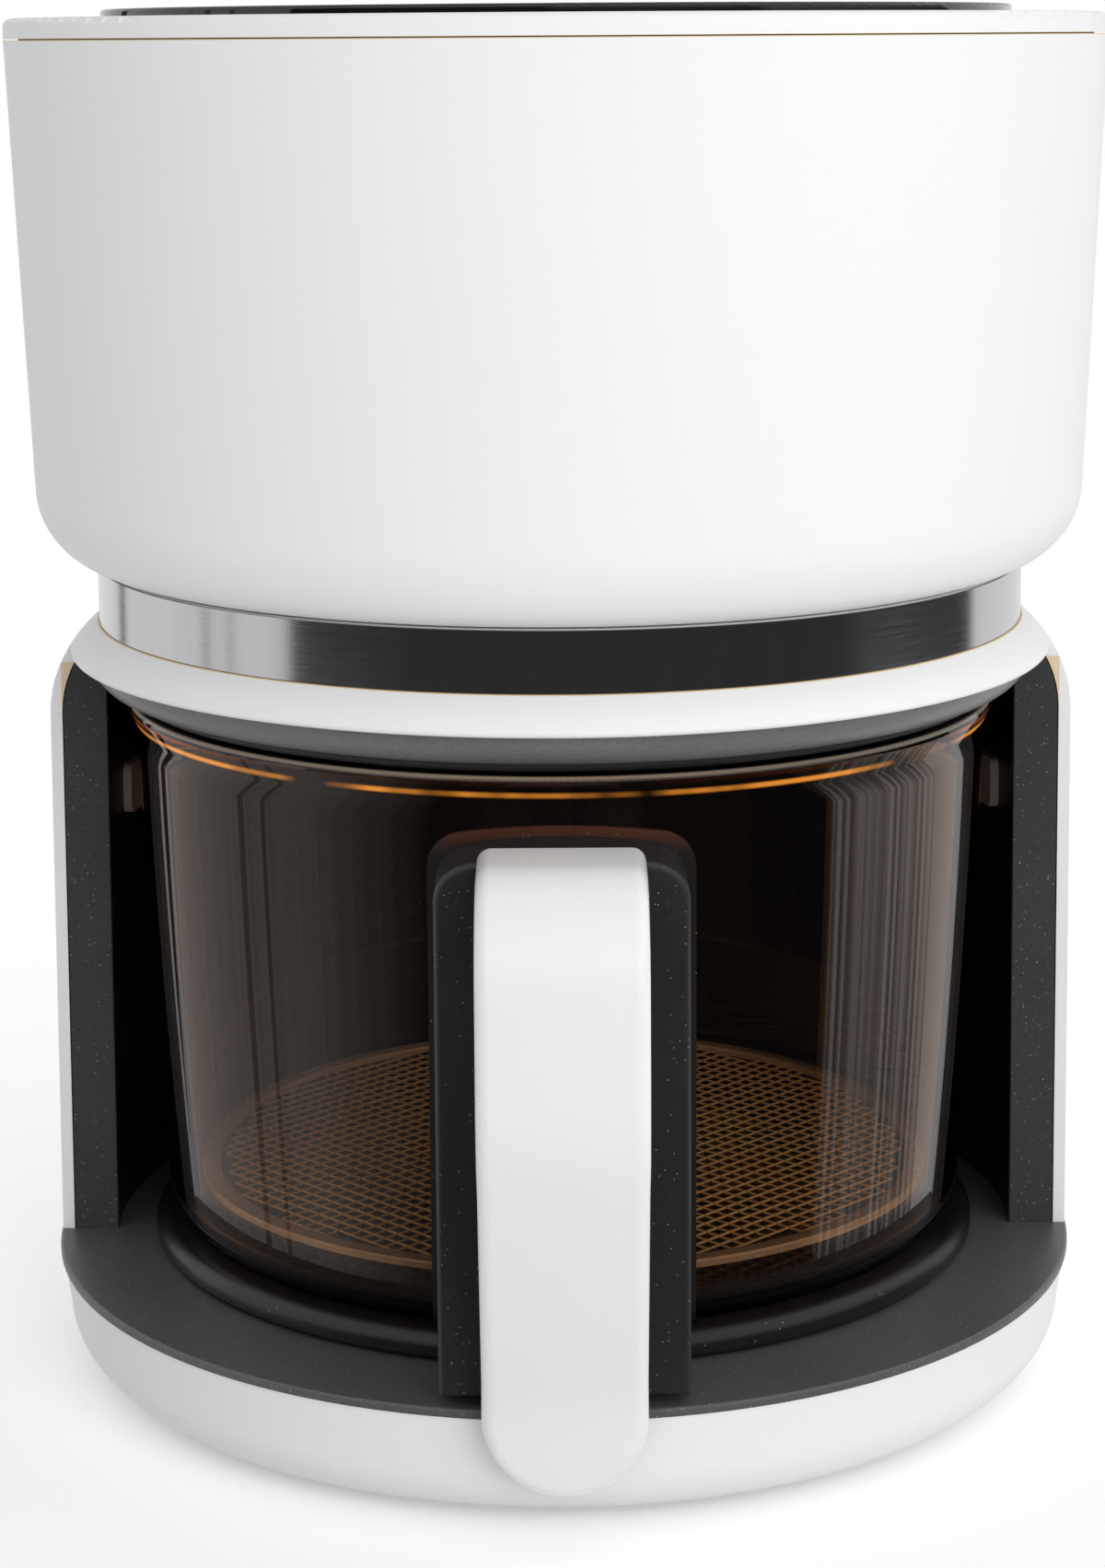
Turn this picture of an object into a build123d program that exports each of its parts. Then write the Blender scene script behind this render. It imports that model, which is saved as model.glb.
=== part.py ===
from build123d import *
import math
import os

# A countertop air fryer with a glass jar. A round white head holds the fan, the heater and the
# controls. It stands on a half-round column behind the jar, and the column stands on a round base.
# The jar pulls out at the front by its handle, and a wire rack lifts out of the jar.
# Millimetres. Z is up from the surface the feet stand on, the vertical axis runs through the
# origin, and the front faces -Y.

# General clearances
JOINT = 0.3                # open joint between two mouldings
SNUG = 0.2                 # fit between pieces that are clamped or glued together
RUNNING = 0.05             # radial clearance of a shaft in its bush

# Base
FOOT_DROP = 2.2            # the feet stand this far below the base
FOOT_R = 9.0
FOOT_CIRCLE_R = 96.0
BASE_R = 130.2             # at the base's top edge
BASE_TAPER = 1.9           # how much smaller the wall is where its bottom corner starts
BASE_CORNER_R = 14.7
BASE_H = 26.5
BASE_WALL = 3.0
BASE_MOUTH_R = 106.0       # opening in the base's underside that the plate closes
PLATE_T = 2.5
PLATE_LIP = 5.0            # the plate's rim reaches this far over the base's floor
PLATE_BOSS_H = 4.4         # thickness of the plate at its screws
VENT_SLOTS = 5
VENT_SLOT_W = 4.0
VENT_SLOT_L = 46.0
VENT_SLOT_PITCH = 11.0
BASE_SCREW_CIRCLE_R = 74.0
SCREW_R = 1.6
SCREW_HEAD_R = 3.2
SCREW_HEAD_H = 2.0
BOSS_WALL = 2.6

# Tray that the jar stands on
TRAY_R = 130.7
TRAY_T = 2.0
TRAY_EDGE_R = 0.8

# Column and crown, one white moulding
FRAME_R = 130.3            # outside of the column
FRAME_WALL = 3.0
FACE_Y = -11.0             # the column's two front faces
SHOULDER_ARC_R = 31.2      # arc from the column up to the trim band
COLLAR_H = 8.6             # the white collar at the front, from its lower edge to the trim band
COLLAR_EDGE_R = 1.2
SHELF_RISE = 3.6           # the shelf's underside, above the collar's lower edge
SHELF_T = 2.0
SHELF_IN_R = 108.0

# Black liner inside the column
LINER_R = 115.9            # inside, facing the jar
LINER_WALL = 2.4
LINER_TOP_DROP = 1.7       # inner wall's top, below the skirt's lower edge
LINER_LIP_DROP = 3.0       # the faces' top, below the collar's lower edge
LINER_LIP_CLEAR = 1.0
BUMPER_W = 20.0
BUMPER_H = 13.0
BUMPER_T = 2.2
BUMPER_CORNER_R = 2.5
BUMPER_DROP = 30.8         # the pads' middle, below the glass's rim
BUMPER_TURN = 12.0         # degrees behind the side-to-side plane

# Trim band
BAND_R = 117.3
BAND_T = 0.9
BAND_H = 14.6
NECK_WALL = 3.0

# Head
HEAD_TOP_R = 137.5
HEAD_LOW_R = 132.3         # where the bottom corner starts
HEAD_CORNER_R = 20.0
HEAD_WALL = 3.0
HEAD_H = 130.6             # from the trim band to the joint with the top cover
HEAD_MOUTH_R = 108.5       # opening in the head's floor
COVER_H = 5.0
COVER_EDGE_R = 2.2
COVER_WALL = 2.4
COVER_RIM_DROP = 9.0       # how far the cover's rim reaches down inside the head
PANEL_R = 113.7
PANEL_RISE = 2.1
PANEL_SEAT = 1.4           # depth of the panel's recess in the cover
PANEL_EDGE_R = 0.9

# Rear grille and exhaust duct
GRILLE_W = 84.0
GRILLE_H = 34.0
GRILLE_DROP = 64.8         # the grille's middle, below the joint with the top cover
GRILLE_SLATS = 6
GRILLE_SLOT_H = 3.2
GRILLE_BORDER = 4.5
DUCT_WALL = 1.5
DUCT_W = 60.0
DUCT_Y = 66.0              # front of the hot air port in the chamber's roof
PORT_D = 21.0

# Hot end above the jar
SKIRT_OUT_R = 120.0
SKIRT_EDGE_R = 112.0       # lower edge that shows
SKIRT_EDGE_RISE = 3.1      # the skirt's lower edge, above the glass's rim
SKIRT_SHOW = 8.1           # height of the skirt that shows under the collar
SKIRT_IN_R = 102.6
SKIRT_WALL = 2.2
SKIRT_LIP = 0.6            # the lips beside the seal reach this far below the lower edge
SKIRT_TUCK = 0.5           # the skirt's outside starts this far below the collar
SKIRT_BULGE_R = 1.6        # how far the outside's middle stands back from its top
SKIRT_BULGE_RISE = 3.4
SKIRT_STEP_R = 1.0         # the channel's step, outside the lower edge
SKIRT_STEP_H = 4.2
SEAL_IN_R = 104.8
SEAL_OUT_R = 110.2
SEAL_H = 3.6
SEAL_NOSE_H = 1.4          # height of the seal's rounded nose
CHAMBER_R = 103.8          # inside
CHAMBER_T = 1.2
CHAMBER_CORNER_R = 12.0
CHAMBER_H = 50.4           # from the shelf to the roof's top
CHAMBER_LIP = 2.6
GUARD_RISE = 3.4           # above the shelf
GUARD_T = 1.2
GUARD_RIM_T = 2.0          # the folded rim
GUARD_RIM_W = 6.0
GUARD_RIM_LAND = 1.6       # flat left between the windows and the folded rim
GUARD_HUB_R = 18.0
GUARD_RING_IN_R = 54.0     # the ring between the two circles of windows
GUARD_RING_OUT_R = 60.0
GUARD_SPOKES = 6
GUARD_BAR = 5.0
SHIELD_OUT_R = 111.8
SHIELD_T = 1.2
SHIELD_GAP = 4.5           # air between the chamber's roof and the shield

# Heating element, a flat spiral of tube
TUBE_R = 3.2
COIL_IN_R = 67.0           # radius of the first half turn
COIL_PITCH = 10.0
COIL_HALF_TURNS = 5
COIL_RISE = 19.0           # above the guard
RISER_BEND_R = 9.0
TERMINAL_RISE = 11.0
CLIP_T = 1.5
CLIP_H = 11.0
CLIP_TURNS = (35.0, 155.0, 275.0)
CLIP_TAB_W = 14.0

# Fan, shaft and motor
FAN_R = 58.0
FAN_HUB_R = 12.0
FAN_BLADES = 8
FAN_BLADE_H = 15.0
FAN_BLADE_T = 1.2
FAN_PLATE_T = 1.2
FAN_RISE = 25.0            # the fan's plate, above the guard
FAN_SWEEP = 18.0
SHAFT_R = 3.0
NUT_R = 6.0
NUT_H = 5.0
MOTOR_R = 34.0
MOTOR_H = 30.0
MOTOR_LIFT = 10.0          # from the shield up to the motor
MOTOR_LAMINATION = 10.0
BUSH_R = 7.0
BUSH_H = 8.0
BRACKET_LEGS = 3
BRACKET_LEG_W = 14.0
BRACKET_T = 1.6
BRACKET_FOOT = 12.0
COOLING_FAN_R = 42.0
COOLING_BLADES = 7
COOLING_FAN_H = 12.0

# Electronics
BOARD_T = 1.6
POWER_BOARD_W = 44.0
POWER_BOARD_L = 78.0
POWER_BOARD_Y = -84.0
STANDOFF_H = 8.0
STANDOFF_R = 3.4
CONTROL_BOARD_W = 120.0
CONTROL_BOARD_L = 76.0
CONTROL_BOARD_DROP = 5.0
BOARD_EDGE = 6.0           # from a board's edge to its bosses and parts
DISPLAY_W = 52.0
DISPLAY_L = 18.0
RIBBON_SOCKET_W = 24.0
RIBBON_SOCKET_L = 8.0
RIBBON_SOCKET_H = 7.0
CHIP_W = 10.0
CHIP_H = 2.0
CHIP_PITCH = 30.0
TRANSFORMER_W = 24.0
TRANSFORMER_L = 26.0
TRANSFORMER_H = 20.0
RELAY_W = 16.0
RELAY_L = 18.0
RELAY_H = 16.0
CAPACITOR_R = 7.0
CAPACITOR_H = 22.0
SINK_W = 12.0
SINK_L = 20.0
SINK_H = 18.0
SINK_T = 2.0
SINK_FINS = 4
PART_GAP = 6.0             # between the parts on a board
SENSOR_R = 2.0
SENSOR_L = 34.0
SENSOR_OUT = 8.0           # part of the probe outside the chamber
SENSOR_LIFT = 12.0         # above the guard
SENSOR_COLLAR_T = 2.0
FUSE_X = -70.0
FUSE_R = 3.6
FUSE_L = 16.0
HARNESS_R = 2.8
HARNESS_CLEAR = 0.8
HARNESS_BEND_R = 16.0
HARNESS_TURN = 30.0        # degrees round from the back, clear of the inlet and the duct

# Jar interlock and cord inlet, both low at the back
SWITCH_W = 20.0
SWITCH_H = 11.0
SWITCH_D = 7.0
PLUNGER_R = 2.0
INLET_Z = 52.0
INLET_R = 7.0
INLET_FLANGE_R = 10.0
INLET_BORE_R = 3.8

# Glass jar
JAR_LIFT = 0.3             # the jar's foot runs this far above the tray
FOOT_FLOOR_T = 4.3         # floor of the jar's foot, under the glass
GLASS_T = 4.5
GLASS_FLOOR_T = 5.0
GLASS_LOW_R = 102.5        # where the bottom corner ends
GLASS_MID_R = 106.0
GLASS_NECK_R = 108.2
GLASS_RIM_R = 110.4
GLASS_CORNER_R = 12.0
GLASS_H = 136.3
GLASS_RIM_H = 7.0          # height over which the rim flares
JAR_FOOT_R = 106.0
JAR_FOOT_IN_R = 84.0
JAR_FOOT_H = 6.6

# Handle
BRACKET_W = 57.0
BRACKET_FRONT = 128.0      # the bracket's flat front face, from the axis
BRACKET_BOTTOM_Z = 33.2
BRACKET_TOP_DROP = 14.1    # the bracket's top, below the glass's rim
BRACKET_ARCH = 3.4
BRACKET_CORNER_R = 9.0
BRACKET_WALL = 3.0
BRACKET_RIBS = 3
BRACKET_EDGE_R = 1.6
PAD_T = 1.4
PAD_PROUD = 2.2            # the pad shows round the bracket by this much
HANDLE_W = 37.3
HANDLE_TOP_RISE = 1.8      # the handle's top, above the bracket's
HANDLE_REACH = 166.8       # the grip's outer face, from the axis
HANDLE_BEND_DROP = 55.5    # where the grip starts to slope back, below its top
HANDLE_HEEL = 138.8        # outer face where the slope ends
HANDLE_HEEL_Z = 34.0
HANDLE_END = 135.4         # outer face at the free end
HANDLE_END_Z = 13.0
HANDLE_TOP_BEND_R = 24.0
HANDLE_SOFT_BEND_R = 55.0
HANDLE_EDGE_R = 3.2
COVER_SHIFT = 4.0          # thickness of the white cover on the grip
GRIP_D = 14.5              # cover and grip together
NECK_H = 17.0
GRIP_END_Z = 27.0
GRIP_INSET = 1.4
HAND_BEND_R = 9.0          # bends of the hollow for the fingers, from its top down
HAND_KNEE_R = 40.0
HAND_HEEL_R = 30.0
LOW_SCREW_RISE = 28.8      # the lower screw, above the bracket's bottom
HIGH_SCREW_DROP = 25.7     # the upper screw, below the bracket's top
CLAMP_W = 16.0
CLAMP_T = 1.5
SLEEVE_R = 4.2
HANDLE_SCREW_R = 2.4
HANDLE_SCREW_PASS = 80.0   # length of a cut that passes all that a handle screw holds
HANDLE_SCREW_HEAD_R = 4.6
HANDLE_SCREW_HEAD_H = 2.4
HANDLE_SCREW_SEAT = 0.45   # keeps the flat head off the curved clamp plate
HANDLE_SCREW_SHORT = 5.0   # the tip stops this far behind the bracket's front face

# Rack
RACK_R = 94.0
RACK_BAND = 4.5
RACK_T = 1.8
RACK_Z = 49.2
MESH_T = 1.2
MESH_PITCH = 13.6
MESH_WIRE = 1.8
RACK_FEET = 4
RACK_FOOT_R = 3.0

# Heights and radii that follow from the sizes above
BASE_Z = FOOT_DROP
BASE_TOP_Z = BASE_Z + BASE_H
TRAY_Z = BASE_TOP_Z + TRAY_T
JAR_Z = TRAY_Z + JAR_LIFT
GLASS_Z = JAR_Z + FOOT_FLOOR_T + SNUG
GLASS_TOP_Z = GLASS_Z + GLASS_H
GLASS_FLOOR_Z = GLASS_Z + GLASS_FLOOR_T
BUMPER_Z = GLASS_TOP_Z - BUMPER_DROP
BRACKET_TOP_Z = GLASS_TOP_Z - BRACKET_TOP_DROP
HANDLE_TOP_Z = BRACKET_TOP_Z + HANDLE_TOP_RISE
HANDLE_BEND_Z = HANDLE_TOP_Z - HANDLE_BEND_DROP
HANDLE_SCREW_ZS = (BRACKET_BOTTOM_Z + LOW_SCREW_RISE, BRACKET_TOP_Z - HIGH_SCREW_DROP)
SKIRT_EDGE_Z = GLASS_TOP_Z + SKIRT_EDGE_RISE
COLLAR_BOTTOM_Z = SKIRT_EDGE_Z + SKIRT_SHOW
BAND_BOTTOM_Z = COLLAR_BOTTOM_Z + COLLAR_H
SEAL_SEAT_Z = GLASS_TOP_Z + JOINT + SEAL_H
SHOULDER_X = FRAME_R - SHOULDER_ARC_R
SHOULDER_SPAN = math.acos((BAND_R + JOINT - SHOULDER_X) / SHOULDER_ARC_R)
SHOULDER_Z = BAND_BOTTOM_Z - SHOULDER_ARC_R * math.sin(SHOULDER_SPAN)
NECK_R = BAND_R - BAND_T - SNUG
HEAD_Z = BAND_BOTTOM_Z + BAND_H
HEAD_TOP_Z = HEAD_Z + HEAD_H
COVER_Z = HEAD_TOP_Z + JOINT
COVER_TOP_Z = COVER_Z + COVER_H
PANEL_Z = COVER_TOP_Z - PANEL_SEAT
PANEL_TOP_Z = COVER_TOP_Z + PANEL_RISE
GRILLE_Z = HEAD_TOP_Z - GRILLE_DROP
HEAD_BEND_R = min(HEAD_CORNER_R, HEAD_LOW_R - SHIELD_OUT_R - JOINT)
SHELF_Z = COLLAR_BOTTOM_Z + SHELF_RISE
SKIRT_TOP_Z = SHELF_Z
CHAMBER_Z = SHELF_Z
CHAMBER_ROOF_Z = CHAMBER_Z + CHAMBER_H
GUARD_Z = SHELF_Z + GUARD_RISE
COIL_Z = GUARD_Z + COIL_RISE
FAN_Z = GUARD_Z + FAN_RISE
SHIELD_Z = HEAD_Z + HEAD_WALL
SHIELD_TOP_Z = CHAMBER_ROOF_Z + SHIELD_GAP + SHIELD_T
MOTOR_Z = SHIELD_TOP_Z + MOTOR_LIFT
MOTOR_TOP_Z = MOTOR_Z + MOTOR_H
COOLING_FAN_Z = MOTOR_TOP_Z + 5.0
SHAFT_Z = FAN_Z - NUT_H
SHAFT_TOP_Z = COOLING_FAN_Z + COOLING_FAN_H + 1.0
COIL_TOP_Z = CHAMBER_ROOF_Z + SHIELD_GAP + TERMINAL_RISE
INNER_R = FRAME_R - FRAME_WALL
SWITCH_Z = JAR_Z + 3.4
HARNESS_LOW_Y = (LINER_R + LINER_WALL + INNER_R) / 2
HARNESS_HIGH_Y = (CHAMBER_R + CHAMBER_T + NECK_R - NECK_WALL) / 2


def block(x0, x1, y0, y1, z0, z1):
    """Box between two corners."""
    centre = ((x0 + x1) / 2, (y0 + y1) / 2, (z0 + z1) / 2)
    return Pos(*centre) * Box(x1 - x0, y1 - y0, z1 - z0)


def disc(r, z0, z1, x=0.0, y=0.0):
    """Upright cylinder."""
    return Pos(x, y, (z0 + z1) / 2) * Cylinder(r, z1 - z0)


def spin(outline):
    """Solid of revolution from a closed outline given as radius and height."""
    return revolve(Plane.XZ * make_face(outline), Axis.Z)


def spin_points(*points):
    """Solid of revolution of a polygon given as radius and height."""
    return spin(Polyline(*points, close=True))


def around(count, start=0.0):
    """Evenly spaced turns in degrees."""
    return [start + 360.0 * i / count for i in range(count)]


def place(solid, turn, radius=0.0):
    """Moves a solid out along X and turns it about the axis."""
    return Rot(0, 0, turn) * Pos(radius, 0, 0) * solid


def group(solids):
    """Separate like solids that share one node."""
    return Compound(children=list(solids))


def shoulder_r(z, inset=0.0):
    """Radius of the column's outside, or of a wall inside it, at a height on the shoulder."""
    reach = SHOULDER_ARC_R - inset
    return SHOULDER_X + math.sqrt(max(reach ** 2 - max(z - SHOULDER_Z, 0.0) ** 2, 0.0))


def shoulder_arc(z_low, z_high, inset):
    """Arc of the shoulder between two heights, from low to high."""
    z_mid = (z_low + z_high) / 2
    points = [(shoulder_r(z, inset), z) for z in (z_low, z_mid, z_high)]
    return ThreePointArc(*points)


def column_cut(front_y):
    """Everything in front of a plane below the collar, which opens the column to the front."""
    return block(-2 * FRAME_R, 2 * FRAME_R, -2 * FRAME_R, front_y, 0, COLLAR_BOTTOM_Z)


def harness_path():
    """Route of the wires, up behind the liner, in over the shoulder and up into the head."""
    points = [
        (0, HARNESS_LOW_Y, INLET_Z + INLET_R),
        (0, HARNESS_LOW_Y, SKIRT_EDGE_Z - 18),
        (0, HARNESS_HIGH_Y, SHELF_Z + 1),
        (0, HARNESS_HIGH_Y, SHIELD_Z + 16),
    ]
    return FilletPolyline(*points, radius=HARNESS_BEND_R)


def harness_tube(radius):
    """Round tube along the wires' route."""
    path = harness_path()
    return Rot(0, 0, HARNESS_TURN) * sweep(Plane(path @ 0, z_dir=path % 0) * Circle(radius), path)


def wire_way():
    """Room that other pieces leave round the wires."""
    return harness_tube(HARNESS_R + HARNESS_CLEAR)


def base_shell():
    """White cup of the base, open in the middle of its underside."""
    def side(inset):
        corner_r = BASE_CORNER_R - inset
        low_r = BASE_R - BASE_TAPER - inset
        floor_z = BASE_Z + inset
        half = math.sqrt(0.5) * corner_r
        corner = (low_r - corner_r, floor_z + corner_r)
        return [
            (low_r - corner_r, floor_z),
            (corner[0] + half, corner[1] - half),
            (low_r, corner[1]),
            (BASE_R - inset, BASE_TOP_Z),
        ]
    out, inn = side(0.0), side(BASE_WALL)
    outline = Polyline((BASE_MOUTH_R, inn[0][1]), (BASE_MOUTH_R, out[0][1]), out[0])
    outline += ThreePointArc(out[0], out[1], out[2])
    outline += Polyline(out[2], out[3], inn[3], inn[2])
    outline += ThreePointArc(inn[2], inn[1], inn[0])
    outline += Line(inn[0], (BASE_MOUTH_R, inn[0][1]))
    return spin(outline.edges())


def base_plate():
    """Underside plate with air slots, foot pockets and countersunk screw seats."""
    pan_r = BASE_MOUTH_R - JOINT
    ring_z = BASE_Z + BASE_WALL
    plate = spin_points(
        (0, BASE_Z), (pan_r, BASE_Z), (pan_r, ring_z), (pan_r + PLATE_LIP, ring_z),
        (pan_r + PLATE_LIP, ring_z + PLATE_T), (pan_r - PLATE_T, ring_z + PLATE_T),
        (pan_r - PLATE_T, BASE_Z + PLATE_T), (0, BASE_Z + PLATE_T),
    )
    for turn in around(4, 45.0):
        boss = disc(SCREW_HEAD_R + BOSS_WALL, BASE_Z, BASE_Z + PLATE_BOSS_H)
        plate += place(boss, turn, BASE_SCREW_CIRCLE_R)
    for i in range(VENT_SLOTS):
        y = (i - (VENT_SLOTS - 1) / 2) * VENT_SLOT_PITCH
        slot = extrude(SlotOverall(VENT_SLOT_L, VENT_SLOT_W), amount=3 * PLATE_T)
        plate -= Pos(0, y, BASE_Z - PLATE_T) * slot
    for turn in around(4, 45.0):
        plate -= place(disc(SCREW_R + SNUG, 0, BASE_TOP_Z), turn, BASE_SCREW_CIRCLE_R)
        seat = disc(SCREW_HEAD_R + SNUG, 0, BASE_Z + SCREW_HEAD_H)
        plate -= place(seat, turn, BASE_SCREW_CIRCLE_R)
    return plate


def rubber_feet():
    """Four round rubber feet under the plate."""
    foot = fillet(disc(FOOT_R, 0, BASE_Z).edges().group_by(Axis.Z)[0], 0.8)
    return group(place(foot, turn, FOOT_CIRCLE_R) for turn in around(4, 45.0))


def base_screws():
    """Screws that clamp the plate to the tray's bosses."""
    screw = disc(SCREW_HEAD_R, BASE_Z + SNUG, BASE_Z + SCREW_HEAD_H)
    screw += disc(SCREW_R, BASE_Z + SNUG, BASE_TOP_Z - 8)
    screw -= block(-SCREW_HEAD_R, SCREW_HEAD_R, -0.4, 0.4, 0, BASE_Z + SCREW_HEAD_H / 2)
    return group(place(screw, turn, BASE_SCREW_CIRCLE_R) for turn in around(4, 45.0))


def base_tray():
    """Black disc that the jar stands on, with a rounded edge and screw bosses below."""
    tray = fillet(disc(TRAY_R, BASE_TOP_Z, TRAY_Z).edges().group_by(Axis.Z)[-1], TRAY_EDGE_R)
    inside = BASE_R - BASE_TAPER - BASE_WALL - JOINT
    tray += spin_points(
        (inside - BOSS_WALL, BASE_TOP_Z - 5), (inside, BASE_TOP_Z - 5),
        (inside, BASE_TOP_Z), (inside - BOSS_WALL, BASE_TOP_Z),
    )
    plate_top_z = BASE_Z + PLATE_BOSS_H
    for turn in around(4, 45.0):
        tray += place(disc(SCREW_R + BOSS_WALL, plate_top_z, BASE_TOP_Z), turn, BASE_SCREW_CIRCLE_R)
        pilot = disc(SCREW_R + RUNNING, plate_top_z, BASE_TOP_Z - 6)
        tray -= place(pilot, turn, BASE_SCREW_CIRCLE_R)
    return tray


def main_frame():
    """White shell in one piece: column, shoulder, front collar and the neck inside the band."""
    neck_in = NECK_R - NECK_WALL
    outline = Line((FRAME_R, TRAY_Z), (FRAME_R, SHOULDER_Z))
    outline += shoulder_arc(SHOULDER_Z, BAND_BOTTOM_Z, 0.0)
    top = (shoulder_r(BAND_BOTTOM_Z, 0.0), BAND_BOTTOM_Z)
    outline += Polyline(
        top, (NECK_R, BAND_BOTTOM_Z), (NECK_R, HEAD_Z), (neck_in, HEAD_Z),
        (neck_in, SHELF_Z + SHELF_T), (SHELF_IN_R, SHELF_Z + SHELF_T), (SHELF_IN_R, SHELF_Z),
        (shoulder_r(SHELF_Z, FRAME_WALL), SHELF_Z),
    )
    outline += shoulder_arc(SHOULDER_Z, SHELF_Z, FRAME_WALL)
    outline += Polyline((INNER_R, SHOULDER_Z), (INNER_R, TRAY_Z), (FRAME_R, TRAY_Z))
    frame = spin(outline.edges())
    frame -= column_cut(FACE_Y)
    frame -= wire_way()
    frame -= Pos(0, FRAME_R, INLET_Z) * Rot(90, 0, 0) * Cylinder(INLET_R + SNUG, 6 * FRAME_WALL)
    rims = frame.edges().filter_by(GeomType.CIRCLE).filter_by(
        lambda e: abs(e.center().Z - COLLAR_BOTTOM_Z) < 0.01
        and e.radius > shoulder_r(COLLAR_BOTTOM_Z, 0.0) - 0.1
    )
    return fillet(rims, COLLAR_EDGE_R)


def column_liner():
    """Black lining of the column: a half-round inner wall with two flat front faces."""
    lip_r, lip_z = SKIRT_OUT_R + LINER_LIP_CLEAR, COLLAR_BOTTOM_Z - LINER_LIP_DROP
    low_z = SKIRT_EDGE_Z - LINER_TOP_DROP

    def region(inner_r, inset):
        inner_z = low_z + (lip_z - low_z) * (inner_r - LINER_R) / (lip_r - LINER_R)
        outline = Polyline((inner_r, TRAY_Z), (FRAME_R - inset, TRAY_Z), (FRAME_R - inset, SHOULDER_Z))
        outline += shoulder_arc(SHOULDER_Z, lip_z, inset)
        outline += Polyline(
            (shoulder_r(lip_z, inset), lip_z), (lip_r, lip_z), (inner_r, inner_z), (inner_r, TRAY_Z)
        )
        return spin(outline.edges())

    liner = region(LINER_R, FRAME_WALL + JOINT) - column_cut(FACE_Y)
    hollow = region(LINER_R + LINER_WALL, FRAME_WALL + JOINT - 1) - column_cut(FACE_Y + LINER_WALL)
    liner -= hollow
    liner -= wire_way()
    for side in (-1, 1):
        liner -= bumper(side, SNUG)
    plunger_hole = Cylinder(PLUNGER_R + JOINT, 4 * LINER_WALL)
    liner -= Pos(0, LINER_R, SWITCH_Z) * Rot(90, 0, 0) * plunger_hole
    return liner


def bumper(side, grow):
    """One soft pad in a window of the liner, grown on all sides for its window."""
    tall = BUMPER_H + 2 * grow
    ring = disc(LINER_R + LINER_WALL + grow, 0, tall)
    ring -= disc(LINER_R - BUMPER_T - grow, 0, tall)
    window = Plane.YZ * Pos(0, tall / 2) * RectangleRounded(BUMPER_W + 2 * grow, tall, BUMPER_CORNER_R)
    pad = ring & extrude(window, amount=2 * LINER_R)
    turn = BUMPER_TURN if side > 0 else 180.0 - BUMPER_TURN
    return Rot(0, 0, turn) * Pos(0, 0, BUMPER_Z - tall / 2) * pad


def jar_bumpers():
    """Two pads that keep the jar centred."""
    return group(bumper(side, 0.0) for side in (-1, 1))


def trim_band():
    """Steel band between the collar and the head."""
    return spin_points(
        (BAND_R - BAND_T, BAND_BOTTOM_Z + SNUG), (BAND_R, BAND_BOTTOM_Z + SNUG),
        (BAND_R, HEAD_Z - SNUG), (BAND_R - BAND_T, HEAD_Z - SNUG),
    )


def head_r(z, inset=0.0):
    """Radius of the head's tapered wall at a height above its bottom corner."""
    low_z = HEAD_Z + HEAD_BEND_R
    share = (z - low_z) / (HEAD_TOP_Z - low_z)
    return HEAD_LOW_R + (HEAD_TOP_R - HEAD_LOW_R) * share - inset


def grille_window(grow, r_in_inset, r_out_inset):
    """Piece of the head's back wall inside the grille's outline."""
    half_w = GRILLE_W / 2 + grow
    low_z, high_z = GRILLE_Z - GRILLE_H / 2 - grow, GRILLE_Z + GRILLE_H / 2 + grow
    wall = spin_points(
        (head_r(low_z, r_in_inset), low_z), (head_r(low_z, r_out_inset), low_z),
        (head_r(high_z, r_out_inset), high_z), (head_r(high_z, r_in_inset), high_z),
    )
    return wall & block(-half_w, half_w, 0, 2 * HEAD_TOP_R, low_z, high_z)


def head_shell():
    """White tapered bowl of the head with a rounded bottom corner and a window for the grille."""
    def side(inset):
        corner_r = HEAD_BEND_R - inset
        low_r = HEAD_LOW_R - inset
        floor_z = HEAD_Z + inset
        half = math.sqrt(0.5) * corner_r
        centre = (low_r - corner_r, floor_z + corner_r)
        return [
            (centre[0], floor_z),
            (centre[0] + half, centre[1] - half),
            (low_r, centre[1]),
            (HEAD_TOP_R - inset, HEAD_TOP_Z),
        ]
    out, inn = side(0.0), side(HEAD_WALL)
    outline = Polyline((HEAD_MOUTH_R, inn[0][1]), (HEAD_MOUTH_R, out[0][1]), out[0])
    outline += ThreePointArc(out[0], out[1], out[2])
    outline += Polyline(out[2], out[3], inn[3], inn[2])
    outline += ThreePointArc(inn[2], inn[1], inn[0])
    outline += Line(inn[0], (HEAD_MOUTH_R, inn[0][1]))
    shell = spin(outline.edges())
    shell -= grille_window(SNUG, 2 * HEAD_WALL, -HEAD_WALL)
    return shell - wire_way()


def rear_grille():
    """Black exhaust grille that fills the window in the head's back."""
    grille = grille_window(0.0, HEAD_WALL, 0.0)
    half_w = GRILLE_W / 2 - GRILLE_BORDER
    pitch = (GRILLE_H - 2 * GRILLE_BORDER) / GRILLE_SLATS
    for i in range(GRILLE_SLATS):
        z = GRILLE_Z + (i - (GRILLE_SLATS - 1) / 2) * pitch
        grille -= block(-half_w, -2, 0, 2 * HEAD_TOP_R, z - GRILLE_SLOT_H / 2, z + GRILLE_SLOT_H / 2)
        grille -= block(2, half_w, 0, 2 * HEAD_TOP_R, z - GRILLE_SLOT_H / 2, z + GRILLE_SLOT_H / 2)
    return grille


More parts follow.
